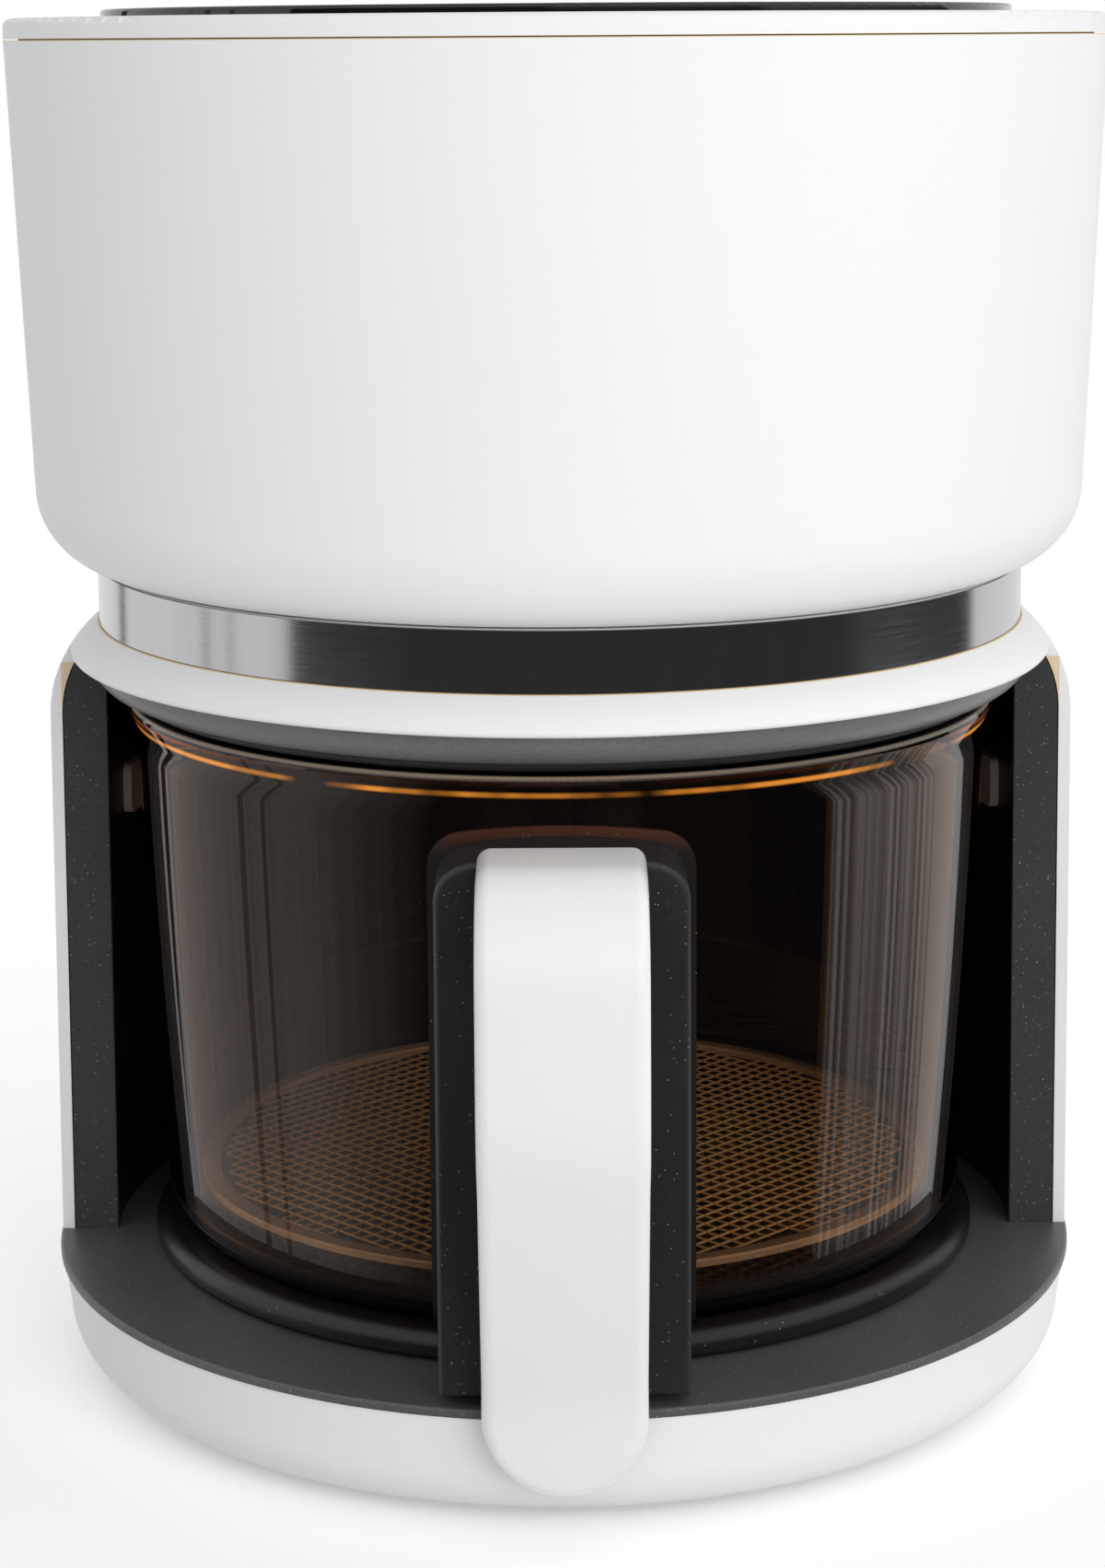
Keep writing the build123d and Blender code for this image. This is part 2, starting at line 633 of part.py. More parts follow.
def top_cover():
    """White cover with a rounded edge, a recess for the panel and a rim inside the head."""
    low_z = HEAD_TOP_Z - COVER_RIM_DROP
    rim_r = head_r(low_z, HEAD_WALL + JOINT)
    seat_r = PANEL_R + SNUG
    under_z = PANEL_Z - COVER_WALL
    edge = math.sqrt(0.5) * COVER_EDGE_R
    arc_x, arc_z = HEAD_TOP_R - COVER_EDGE_R, COVER_TOP_Z - COVER_EDGE_R
    outline = Polyline(
        (0, under_z), (rim_r - COVER_WALL, under_z), (rim_r - COVER_WALL, low_z), (rim_r, low_z),
        (rim_r, COVER_Z), (HEAD_TOP_R, COVER_Z), (HEAD_TOP_R, arc_z),
    )
    outline += ThreePointArc((HEAD_TOP_R, arc_z), (arc_x + edge, arc_z + edge), (arc_x, COVER_TOP_Z))
    outline += Polyline(
        (arc_x, COVER_TOP_Z), (seat_r, COVER_TOP_Z), (seat_r, PANEL_Z), (0, PANEL_Z), (0, under_z),
    )
    cover = spin(outline.edges())
    board_top_z = under_z - CONTROL_BOARD_DROP
    for x in (-1, 1):
        for y in (-1, 1):
            boss_x = x * (CONTROL_BOARD_W / 2 - BOARD_EDGE)
            boss_y = y * (CONTROL_BOARD_L / 2 - BOARD_EDGE)
            cover += disc(STANDOFF_R, board_top_z, under_z + 0.1, boss_x, boss_y)
    return cover


def control_panel():
    """Black glass touch panel, a bare disc with a softened edge."""
    panel = disc(PANEL_R, PANEL_Z, PANEL_TOP_Z)
    return fillet(panel.edges().group_by(Axis.Z)[-1], PANEL_EDGE_R)


def control_board():
    """Circuit board under the panel with its display, ribbon socket and touch chips."""
    top_z = PANEL_Z - COVER_WALL - CONTROL_BOARD_DROP
    low_z = top_z - BOARD_T
    half_w, half_l = CONTROL_BOARD_W / 2, CONTROL_BOARD_L / 2
    board = block(-half_w, half_w, -half_l, half_l, low_z, top_z)
    half_w, half_l = DISPLAY_W / 2, DISPLAY_L / 2
    board += block(-half_w, half_w, -half_l, half_l, top_z, top_z + CONTROL_BOARD_DROP - JOINT)
    half_w, y = RIBBON_SOCKET_W / 2, CONTROL_BOARD_L / 2 - BOARD_EDGE
    board += block(-half_w, half_w, y - RIBBON_SOCKET_L, y, low_z - RIBBON_SOCKET_H, low_z)
    half = CHIP_W / 2
    y = CHIP_W - CONTROL_BOARD_L / 2 + BOARD_EDGE + half
    for x in (-CHIP_PITCH, 0, CHIP_PITCH):
        board += block(x - half, x + half, y - half, y + half, low_z - CHIP_H, low_z)
    return board


def chamber_skirt():
    """Dark ring between the collar and the jar's rim, a channel open at its top."""
    start = (SKIRT_OUT_R, COLLAR_BOTTOM_Z - SKIRT_TUCK)
    bulge = (SKIRT_OUT_R - SKIRT_BULGE_R, SKIRT_EDGE_Z + SKIRT_BULGE_RISE)
    edge = (SKIRT_EDGE_R, SKIRT_EDGE_Z)
    lip_z = SKIRT_EDGE_Z - SKIRT_LIP
    groove_out_r, groove_in_r = SEAL_OUT_R + SNUG, SEAL_IN_R - SNUG
    shelf_r = shoulder_r(SKIRT_TOP_Z, FRAME_WALL) - JOINT
    outline = Line((shelf_r, SKIRT_TOP_Z), start)
    outline += ThreePointArc(start, bulge, edge)
    outline += Polyline(
        edge, (groove_out_r, lip_z), (groove_out_r, SEAL_SEAT_Z), (groove_in_r, SEAL_SEAT_Z),
        (groove_in_r, lip_z), (SKIRT_IN_R, lip_z), (SKIRT_IN_R, SKIRT_TOP_Z), (shelf_r, SKIRT_TOP_Z),
    )
    skirt = spin(outline.edges())
    web_z = SEAL_SEAT_Z + SKIRT_WALL
    above_z = SKIRT_TOP_Z + SKIRT_WALL
    skirt -= spin_points(
        (SKIRT_IN_R + SKIRT_WALL, web_z), (SKIRT_EDGE_R + SKIRT_STEP_R, web_z),
        (shelf_r - SKIRT_WALL, web_z + SKIRT_STEP_H), (shelf_r - SKIRT_WALL, above_z),
        (SKIRT_IN_R + SKIRT_WALL, above_z),
    )
    return skirt - wire_way()


def chamber_seal():
    """Silicone ring in the skirt's groove, just above the jar's rim."""
    low_z = GLASS_TOP_Z + JOINT
    nose_z = low_z + SEAL_NOSE_H
    middle_r = (SEAL_IN_R + SEAL_OUT_R) / 2
    outline = Polyline(
        (SEAL_IN_R, nose_z), (SEAL_IN_R, SEAL_SEAT_Z), (SEAL_OUT_R, SEAL_SEAT_Z), (SEAL_OUT_R, nose_z),
    )
    outline += ThreePointArc((SEAL_OUT_R, nose_z), (middle_r, low_z), (SEAL_IN_R, nose_z))
    return spin(outline.edges())


def port_block(grow):
    """Hot air port through the chamber's roof, in front of the grille."""
    half = DUCT_W / 2 - DUCT_WALL + grow
    y0, y1 = DUCT_Y - grow, DUCT_Y + PORT_D + grow
    return block(-half, half, y0, y1, CHAMBER_ROOF_Z - 5, SHIELD_TOP_Z + 5)


def heat_chamber():
    """Inverted steel bowl over the jar, with holes for the shaft, the element and the hot air."""
    out_r = CHAMBER_R + CHAMBER_T
    half = math.sqrt(0.5)
    roof_z = CHAMBER_ROOF_Z
    c_x, c_z = CHAMBER_R - CHAMBER_CORNER_R, roof_z - CHAMBER_T - CHAMBER_CORNER_R
    big = CHAMBER_CORNER_R + CHAMBER_T
    lip_r = out_r + CHAMBER_LIP
    outline = Polyline((0, roof_z - CHAMBER_T), (0, roof_z), (c_x, roof_z))
    outline += ThreePointArc((c_x, roof_z), (c_x + half * big, c_z + half * big), (out_r, c_z))
    outline += Polyline(
        (out_r, c_z), (out_r, CHAMBER_Z + CHAMBER_T), (lip_r, CHAMBER_Z + CHAMBER_T),
        (lip_r, CHAMBER_Z), (CHAMBER_R, CHAMBER_Z), (CHAMBER_R, c_z),
    )
    outline += ThreePointArc(
        (CHAMBER_R, c_z),
        (c_x + half * CHAMBER_CORNER_R, c_z + half * CHAMBER_CORNER_R),
        (c_x, roof_z - CHAMBER_T),
    )
    outline += Line((c_x, roof_z - CHAMBER_T), (0, roof_z - CHAMBER_T))
    bowl = spin(outline.edges())
    bowl -= disc(BUSH_R, roof_z - 5, roof_z + 5)
    for x, y in coil_ends():
        bowl -= disc(TUBE_R + JOINT, roof_z - 5, roof_z + 5, x, y)
    bowl -= port_block(0.0)
    bowl -= sensor_probe(SENSOR_R + SNUG / 2)
    return bowl - wire_way()


def coil_points():
    """Ends of the spiral's half turns, from inside to outside, on the X axis."""
    points = [(COIL_IN_R, 0.0)]
    x = COIL_IN_R
    for i in range(COIL_HALF_TURNS):
        radius = COIL_IN_R + COIL_PITCH / 2 * i + COIL_PITCH / 4
        x += -2 * radius if i % 2 == 0 else 2 * radius
        points.append((x, 0.0))
    return points


def coil_ends():
    """Plan places of the two risers, a bend away from the spiral's ends."""
    points = coil_points()
    out_y = RISER_BEND_R if COIL_HALF_TURNS % 2 == 0 else -RISER_BEND_R
    return [(points[0][0], -RISER_BEND_R), (points[-1][0], out_y)]


def heating_element():
    """Flat spiral tube whose two ends turn up through the chamber's roof."""
    points = coil_points()
    ends = coil_ends()
    lift = COIL_Z + RISER_BEND_R
    knee = RISER_BEND_R * (1 - math.sqrt(0.5))
    def bend(flat, end):
        middle_y = end[1] * math.sqrt(0.5)
        return ThreePointArc((end[0], end[1], lift), (end[0], middle_y, COIL_Z + knee), flat)
    start = (points[0][0], points[0][1], COIL_Z)
    finish = (points[-1][0], points[-1][1], COIL_Z)
    path = [Line((*ends[0], COIL_TOP_Z), (*ends[0], lift)), bend(start, ends[0])]
    for i in range(COIL_HALF_TURNS):
        (x0, _), (x1, _) = points[i], points[i + 1]
        radius = abs(x1 - x0) / 2
        rise = radius if i % 2 == 0 else -radius
        path.append(ThreePointArc((x0, 0, COIL_Z), ((x0 + x1) / 2, rise, COIL_Z), (x1, 0, COIL_Z)))
    path += [bend(finish, ends[1]), Line((*ends[1], lift), (*ends[1], COIL_TOP_Z))]
    wire = Wire(path)
    section = Plane(origin=(*ends[0], COIL_TOP_Z), z_dir=(0, 0, -1)) * Circle(TUBE_R)
    return sweep(section, wire)


def coil_radii(turn):
    """Radii at which the spiral crosses a ray at a turn in degrees."""
    points = coil_points()
    a = math.radians(turn)
    found = []
    for i in range(COIL_HALF_TURNS):
        centre = (points[i][0] + points[i + 1][0]) / 2
        radius = abs(points[i + 1][0] - points[i][0]) / 2
        upper = i % 2 == 0
        if upper == (math.sin(a) > 0):
            along = centre * math.cos(a)
            found.append(along + math.sqrt(radius ** 2 - centre ** 2 * math.sin(a) ** 2))
    return found


def element_clips():
    """Three upright combs on the chamber's wall that carry the spiral."""
    clips = []
    for turn in CLIP_TURNS:
        radii = coil_radii(turn)
        inner = min(radii) - TUBE_R - 3
        outer = CHAMBER_R - SNUG
        comb = block(inner, outer, -CLIP_T / 2, CLIP_T / 2, COIL_Z - CLIP_H / 2, COIL_Z + CLIP_H / 2)
        tab = disc(outer, COIL_Z - CLIP_H / 2, COIL_Z + CLIP_H / 2)
        tab -= disc(outer - CLIP_T, 0, 2 * COIL_Z)
        tab &= block(0, outer + 1, -CLIP_TAB_W / 2, CLIP_TAB_W / 2, 0, 2 * COIL_Z)
        comb = (comb & disc(outer, 0, 2 * COIL_Z)) + tab
        for r in radii:
            comb -= Pos(r, 0, COIL_Z) * Rot(90, 0, 0) * Cylinder(TUBE_R + SNUG, 4 * CLIP_T)
        clips.append(Rot(0, 0, turn) * comb)
    return group(clips)


def heater_guard():
    """Flat pressed steel guard under the element: two circles of windows and a folded rim."""
    out_r = CHAMBER_R - SNUG
    rim_in_r = out_r - GUARD_RIM_W
    guard = disc(out_r, GUARD_Z, GUARD_Z + GUARD_T)
    guard += disc(out_r, GUARD_Z, GUARD_Z + GUARD_RIM_T) - disc(rim_in_r, 0, 2 * GUARD_Z)
    circles = ((GUARD_HUB_R, GUARD_RING_IN_R), (GUARD_RING_OUT_R, rim_in_r - GUARD_RIM_LAND))
    for r_in, r_out in circles:
        windows = disc(r_out, GUARD_Z - GUARD_T, GUARD_Z + 2 * GUARD_T)
        windows -= disc(r_in, GUARD_Z - GUARD_T, GUARD_Z + 2 * GUARD_T)
        for turn in around(GUARD_SPOKES):
            windows -= place(block(0, out_r, -GUARD_BAR / 2, GUARD_BAR / 2, 0, 2 * GUARD_Z), turn)
        guard -= windows
    return guard


def heat_shield():
    """Steel pan over the chamber that keeps its heat from the motor and boards."""
    in_r = SHIELD_OUT_R - SHIELD_T
    shield = spin_points(
        (0, SHIELD_TOP_Z - SHIELD_T), (0, SHIELD_TOP_Z), (SHIELD_OUT_R, SHIELD_TOP_Z),
        (SHIELD_OUT_R, SHIELD_Z), (in_r, SHIELD_Z), (in_r, SHIELD_TOP_Z - SHIELD_T),
    )
    shield -= disc(SHAFT_R + 4, SHIELD_TOP_Z - 5, SHIELD_TOP_Z + 5)
    for x, y in coil_ends():
        shield -= disc(TUBE_R + 2, SHIELD_TOP_Z - 5, SHIELD_TOP_Z + 5, x, y)
    shield -= port_block(DUCT_WALL + SNUG)
    shield -= wire_way()
    for x, y in board_corners():
        shield += disc(STANDOFF_R, SHIELD_TOP_Z - 0.1, SHIELD_TOP_Z + STANDOFF_H, x, y)
    return shield


def exhaust_duct():
    """Duct that stands on the chamber's port and turns back to the rear grille."""
    top_z = GRILLE_Z + GRILLE_H / 2 - 2
    mouth_z = GRILLE_Z - GRILLE_H / 2 + 2

    def passage(inset, drop):
        x = DUCT_W / 2 - inset
        y0, y1 = DUCT_Y - DUCT_WALL + inset, DUCT_Y + PORT_D + DUCT_WALL - inset
        leg = block(-x, x, y0, y1, CHAMBER_ROOF_Z + SNUG - drop, top_z - inset)
        return leg + block(-x, x, y0, HEAD_TOP_R, mouth_z + inset, top_z - inset)

    wall_inset = HEAD_WALL + SNUG
    beyond = spin_points(
        (head_r(mouth_z, wall_inset), mouth_z - 5), (2 * HEAD_TOP_R, mouth_z - 5),
        (2 * HEAD_TOP_R, top_z + 5), (head_r(mouth_z, wall_inset), top_z + 5),
    )
    return passage(0.0, 0.0) - passage(DUCT_WALL, 5.0) - beyond


def convection_fan():
    """Pressed fan: a plate with upright swept blades and a hub on the shaft."""
    fan = disc(FAN_R, FAN_Z, FAN_Z + FAN_PLATE_T)
    for turn in around(FAN_BLADES):
        blade = block(FAN_HUB_R + 8, FAN_R, -FAN_BLADE_T / 2, FAN_BLADE_T / 2, FAN_Z, FAN_Z + FAN_BLADE_H)
        blade = Pos(FAN_HUB_R + 8, 0, 0) * Rot(0, 0, FAN_SWEEP) * Pos(-FAN_HUB_R - 8, 0, 0) * blade
        fan += Rot(0, 0, turn) * blade
        window = disc(7.0, 0, 2 * FAN_Z, FAN_HUB_R + 16, 0)
        fan -= Rot(0, 0, turn + 180.0 / FAN_BLADES + FAN_SWEEP / 2) * window
    fan += disc(FAN_HUB_R, FAN_Z, FAN_Z + 9)
    fan &= disc(FAN_R + 1, 0, 2 * FAN_Z)
    return fan - disc(SHAFT_R + SNUG / 2, 0, 2 * FAN_Z)


def fan_nut():
    """Hexagon nut under the fan."""
    nut = extrude(RegularPolygon(NUT_R, 6), amount=NUT_H - SNUG)
    return Pos(0, 0, FAN_Z - NUT_H) * nut - disc(SHAFT_R + SNUG / 2, 0, FAN_Z)


def motor_shaft():
    """Steel shaft through both fans and the motor."""
    shaft = disc(SHAFT_R, SHAFT_Z - 2, SHAFT_TOP_Z)
    return chamfer(shaft.edges().filter_by(GeomType.CIRCLE), 0.5)


def cooling_fan():
    """Plastic fan above the motor that cools it and the boards."""
    fan = disc(10.0, COOLING_FAN_Z, COOLING_FAN_Z + COOLING_FAN_H)
    for turn in around(COOLING_BLADES):
        blade = block(8, COOLING_FAN_R, -7, 7, -0.8, 0.8)
        blade = Pos(0, 0, COOLING_FAN_Z + COOLING_FAN_H / 2) * Rot(32, 0, 0) * blade
        fan += Rot(0, 0, turn) * blade
    fan &= disc(COOLING_FAN_R, COOLING_FAN_Z, COOLING_FAN_Z + COOLING_FAN_H)
    return fan - disc(SHAFT_R + SNUG / 2, 0, HEAD_TOP_Z)


def motor():
    """Shaded-pole motor: a laminated stack with end bells, bored for its bushes."""
    mid_z = MOTOR_Z + MOTOR_H / 2
    body = disc(MOTOR_R * 0.72, MOTOR_Z, MOTOR_TOP_Z)
    stack = extrude(RectangleRounded(2 * MOTOR_R, 2 * MOTOR_R * 0.86, 8), amount=MOTOR_LAMINATION)
    body += Pos(0, 0, mid_z - MOTOR_LAMINATION / 2) * stack
    body = body + block(-16, 16, -MOTOR_R - 4, -MOTOR_R * 0.6, mid_z - 11, mid_z + 11)
    body -= disc(SHAFT_R + 1.5, 0, HEAD_TOP_Z)
    body -= disc(BUSH_R + SNUG / 2, MOTOR_Z - 1, MOTOR_Z + BUSH_H)
    return body - disc(BUSH_R + SNUG / 2, MOTOR_TOP_Z - BUSH_H, MOTOR_TOP_Z + 1)


def motor_bushes():
    """Two plain bushes that the shaft turns in."""
    def bush(z):
        return disc(BUSH_R, z, z + BUSH_H - SNUG) - disc(SHAFT_R + RUNNING, z - 1, z + BUSH_H + 1)
    return group([bush(MOTOR_Z), bush(MOTOR_TOP_Z - BUSH_H + SNUG)])


def motor_bracket():
    """Three-legged steel plate that stands on the shield and carries the motor."""
    top_z = MOTOR_Z
    plate = disc(MOTOR_R, top_z - BRACKET_T, top_z)
    for turn in around(BRACKET_LEGS, 90.0):
        w = BRACKET_LEG_W / 2
        reach = MOTOR_R + 8
        leg = block(MOTOR_R - 6, reach, -w, w, top_z - BRACKET_T, top_z)
        leg += block(reach - BRACKET_T, reach, -w, w, SHIELD_TOP_Z, top_z)
        leg += block(reach - BRACKET_T, reach + BRACKET_FOOT, -w, w, SHIELD_TOP_Z, SHIELD_TOP_Z + BRACKET_T)
        plate += Rot(0, 0, turn) * leg
    return plate - disc(SHAFT_R + 4, 0, HEAD_TOP_Z)


def board_corners():
    """Places of the power board's four standoffs."""
    dx, dy = POWER_BOARD_L / 2 - 5, POWER_BOARD_W / 2 - 5
    return [(x * dx, POWER_BOARD_Y + y * dy) for x in (-1, 1) for y in (-1, 1)]


def power_board():
    """Mains board with transformer, relay, capacitor and a finned heat sink."""
    low_z = SHIELD_TOP_Z + STANDOFF_H
    top_z = low_z + BOARD_T
    half_w, half_l = POWER_BOARD_W / 2, POWER_BOARD_L / 2
    y = POWER_BOARD_Y
    board = block(-half_l, half_l, y - half_w, y + half_w, low_z, top_z)
    y -= half_w - BOARD_EDGE
    x = BOARD_EDGE - half_l
    board += block(x, x + TRANSFORMER_W, y, y + TRANSFORMER_L, top_z, top_z + TRANSFORMER_H)
    x += TRANSFORMER_W + 2 * PART_GAP
    board += block(x, x + RELAY_W, y, y + RELAY_L, top_z, top_z + RELAY_H)
    behind_y = y + RELAY_L + CAPACITOR_R + 2 * SINK_T
    board += disc(CAPACITOR_R, top_z, top_z + CAPACITOR_H, x + RELAY_W / 2, behind_y)
    x += RELAY_W + PART_GAP
    board += block(x, x + SINK_W, y, y + SINK_L, top_z, top_z + 2 * SINK_T)
    pitch = (SINK_L - SINK_T) / (SINK_FINS - 1)
    for i in range(SINK_FINS):
        fin_y = y + i * pitch
        board += block(x, x + SINK_W, fin_y, fin_y + SINK_T, top_z, top_z + SINK_H)
    return board


def sensor_probe(radius):
    """Cylinder along the temperature probe, through the chamber's side."""
    middle_x = SENSOR_L / 2 - CHAMBER_R - SENSOR_OUT
    return Pos(middle_x, 0, GUARD_Z + SENSOR_LIFT) * Rot(0, 90, 0) * Cylinder(radius, SENSOR_L)


def temperature_sensor():
    """Probe through the chamber's side, with its collar against the outside of the wall."""
    collar_x = -CHAMBER_R - CHAMBER_T - SNUG / 2 - SENSOR_COLLAR_T / 2
    collar = Cylinder(2.2 * SENSOR_R, SENSOR_COLLAR_T)
    collar = Pos(collar_x, 0, GUARD_Z + SENSOR_LIFT) * Rot(0, 90, 0) * collar
    collar -= disc(CHAMBER_R + CHAMBER_T + SNUG / 4, 0, HEAD_TOP_Z)
    return sensor_probe(SENSOR_R) + collar


def thermal_fuse():
    """Cut-out fuse strapped to the top of the shield."""
    z = SHIELD_TOP_Z
    body = Pos(FUSE_X, 0, z + FUSE_R + 0.4) * Rot(90, 0, 0) * Cylinder(FUSE_R, FUSE_L)
    return body + block(FUSE_X - 10, FUSE_X + 10, -4, 4, z, z + 1.2)


def interlock_switch():
    """Switch body behind the liner that tells the controls the jar is in."""
    y0 = LINER_R + LINER_WALL + 0.1
    body = block(-SWITCH_W / 2, SWITCH_W / 2, y0, y0 + SWITCH_D, SWITCH_Z - 3.2, SWITCH_Z + SWITCH_H - 3.2)
    bore = Pos(0, y0, SWITCH_Z) * Rot(90, 0, 0) * Cylinder(PLUNGER_R + RUNNING, 2 * SWITCH_D - 2)
    return body - bore


def interlock_plunger():
    """Round-nosed plunger that the jar's foot holds pressed."""
    nose_y = JAR_FOOT_R + JOINT
    tail_y = LINER_R + LINER_WALL + 0.1 + SWITCH_D - 3.0
    rod = Cylinder(PLUNGER_R, tail_y - nose_y)
    rod = fillet(rod.edges().group_by(Axis.Z)[-1], 1.2)
    return Pos(0, (nose_y + tail_y) / 2, SWITCH_Z) * Rot(90, 0, 0) * rod


def wiring_harness():
    """Sleeved wires from the base of the column up into the head."""
    return harness_tube(HARNESS_R)


def cord_inlet():
    """Empty mains inlet bush in the column's back."""
    flange = Pos(0, FRAME_R + 0.9, INLET_Z) * Rot(90, 0, 0) * Cylinder(INLET_FLANGE_R, 2.6)
    flange = flange - disc(FRAME_R + SNUG / 2, 0, 2 * INLET_Z)
    neck = Pos(0, FRAME_R - 1, INLET_Z) * Rot(90, 0, 0) * Cylinder(INLET_R, 7.0)
    bush = flange + neck
    return bush - Pos(0, FRAME_R, INLET_Z) * Rot(90, 0, 0) * Cylinder(INLET_BORE_R, 40)


def glass_side(grow):
    """Points of the jar's outside, from the bottom corner up, moved out by a distance."""
    corner_r = GLASS_CORNER_R + grow
    low_r = GLASS_LOW_R + grow
    floor_z = GLASS_Z - grow
    half = math.sqrt(0.5) * corner_r
    centre = (low_r - corner_r, floor_z + corner_r)
    neck_z = GLASS_TOP_Z - GLASS_RIM_H
    middle_z = (centre[1] + neck_z) / 2
    return [
        (centre[0], floor_z),
        (centre[0] + half, centre[1] - half),
        (low_r, centre[1]),
        (GLASS_MID_R + grow, middle_z),
        (GLASS_NECK_R + grow, neck_z),
    ]


def glass_envelope(grow):
    """Solid filled outline of the jar's outside below its rim, moved out by a distance."""
    side = glass_side(grow)
    outline = Line((0, side[0][1]), side[0])
    outline += ThreePointArc(side[0], side[1], side[2])
    outline += ThreePointArc(side[2], side[3], side[4])
    outline += Polyline(side[4], (0, side[4][1]), (0, side[0][1]))
    return spin(outline.edges())


def glass_jar():
    """Smoked glass jar with a flared, fire-polished rim and two holes for the handle's screws."""
    out, inn = glass_side(0.0), glass_side(-GLASS_T)
    inn[0] = (inn[0][0], GLASS_FLOOR_Z)
    rim_in_r = GLASS_RIM_R - GLASS_T
    bead_z = GLASS_TOP_Z - GLASS_T / 2
    outline = Line((0, out[0][1]), out[0])
    outline += ThreePointArc(out[0], out[1], out[2])
    outline += ThreePointArc(out[2], out[3], out[4])
    outline += Line(out[4], (GLASS_RIM_R, bead_z))
    outline += ThreePointArc(
        (GLASS_RIM_R, bead_z), (GLASS_RIM_R - GLASS_T / 2, GLASS_TOP_Z), (rim_in_r, bead_z)
    )
    outline += Line((rim_in_r, bead_z), inn[4])
    outline += ThreePointArc(inn[4], inn[3], inn[2])
    corner = GLASS_CORNER_R - GLASS_T
    half = math.sqrt(0.5) * corner
    low = (inn[2][0] - corner, GLASS_FLOOR_Z)
    start = (inn[2][0], GLASS_FLOOR_Z + corner)
    outline += Line(inn[2], start)
    outline += ThreePointArc(start, (low[0] + half, start[1] - half), low)
    outline += Polyline(low, (0, GLASS_FLOOR_Z), (0, out[0][1]))
    jar = spin(outline.edges())
    return jar - handle_screw_holes(SLEEVE_R + SNUG)


def jar_foot():
    """Black foot ring that the glass is bonded into."""
    top_z = JAR_Z + JAR_FOOT_H
    outline = Line((JAR_FOOT_IN_R, JAR_Z), (JAR_FOOT_R - 1.4, JAR_Z))
    outline += Polyline((JAR_FOOT_R - 1.4, JAR_Z), (JAR_FOOT_R, JAR_Z + 1.4), (JAR_FOOT_R, JAR_Z + 3.2))
    outline += ThreePointArc(
        (JAR_FOOT_R, JAR_Z + 3.2), (JAR_FOOT_R - 1.3, top_z - 1.0), (JAR_FOOT_R - 4.2, top_z)
    )
    outline += Polyline(
        (JAR_FOOT_R - 4.2, top_z), (JAR_FOOT_IN_R, top_z), (JAR_FOOT_IN_R, JAR_Z)
    )
    return spin(outline.edges()) - glass_envelope(SNUG)


def bracket_outline(grow, bottom_z):
    """Front outline of the bracket: straight sides under an arched top."""
    half = BRACKET_W / 2 + grow
    side_z = BRACKET_TOP_Z - BRACKET_ARCH + grow
    top_z = BRACKET_TOP_Z + grow
    outline = Polyline((-half, side_z), (-half, bottom_z), (half, bottom_z), (half, side_z))
    outline += ThreePointArc((half, side_z), (0, top_z), (-half, side_z))
    face = make_face(outline.edges())
    corners = face.vertices().group_by(Axis.Y)[-1]
    return fillet(corners, BRACKET_CORNER_R)


def front_prism(outline, y0, y1):
    """Extrudes a front outline between two distances in front of the axis."""
    return extrude(Plane.XZ.offset(y0) * outline, amount=y1 - y0)


def handle_screw_holes(radius):
    """Bores along Y for the handle's two screws."""
    hole = Rot(90, 0, 0) * Cylinder(radius, HANDLE_SCREW_PASS)
    low, high = [Pos(0, -GLASS_NECK_R, z) * hole for z in HANDLE_SCREW_ZS]
    return low + high


def bracket_pad():
    """Thin black pad between the bracket and the glass."""
    wall = glass_envelope(SNUG / 2 + PAD_T) - glass_envelope(SNUG / 2)
    low_z = JAR_Z + JAR_FOOT_H + JOINT
    pad = wall & front_prism(bracket_outline(PAD_PROUD, low_z), GLASS_LOW_R - 30, BRACKET_FRONT)
    return pad - handle_screw_holes(SLEEVE_R + SNUG)


def handle_bracket():
    """Black moulded bracket on the jar's front, ribbed inside."""
    outline = bracket_outline(0.0, BRACKET_BOTTOM_Z)
    bracket = front_prism(outline, GLASS_LOW_R - 30, BRACKET_FRONT)
    front = bracket.faces().sort_by(Axis.Y)[0]
    bracket = fillet(front.edges(), BRACKET_EDGE_R)
    half = BRACKET_W / 2 - BRACKET_WALL
    pocket_low_z = BRACKET_BOTTOM_Z + 12
    pocket_top_z = BRACKET_TOP_Z - BRACKET_ARCH - BRACKET_CORNER_R
    bay = (pocket_top_z - pocket_low_z + BRACKET_WALL) / (BRACKET_RIBS + 1)
    for i in range(BRACKET_RIBS + 1):
        z = pocket_low_z + i * bay
        bracket -= block(-half, half, -BRACKET_FRONT + BRACKET_WALL, 0, z, z + bay - BRACKET_WALL)
    for z in HANDLE_SCREW_ZS:
        post = Pos(0, -BRACKET_FRONT + 15, z) * Rot(90, 0, 0) * Cylinder(SLEEVE_R + 4, 30)
        bracket += post & block(-half, half, -BRACKET_FRONT + 1, 0, 0, BRACKET_TOP_Z)
    bracket -= glass_envelope(SNUG + PAD_T)
    bracket -= disc(JAR_FOOT_R + SNUG, 0, JAR_Z + JAR_FOOT_H + JOINT)
    bracket -= handle_screw_holes(HANDLE_SCREW_R + SNUG)
    return bracket


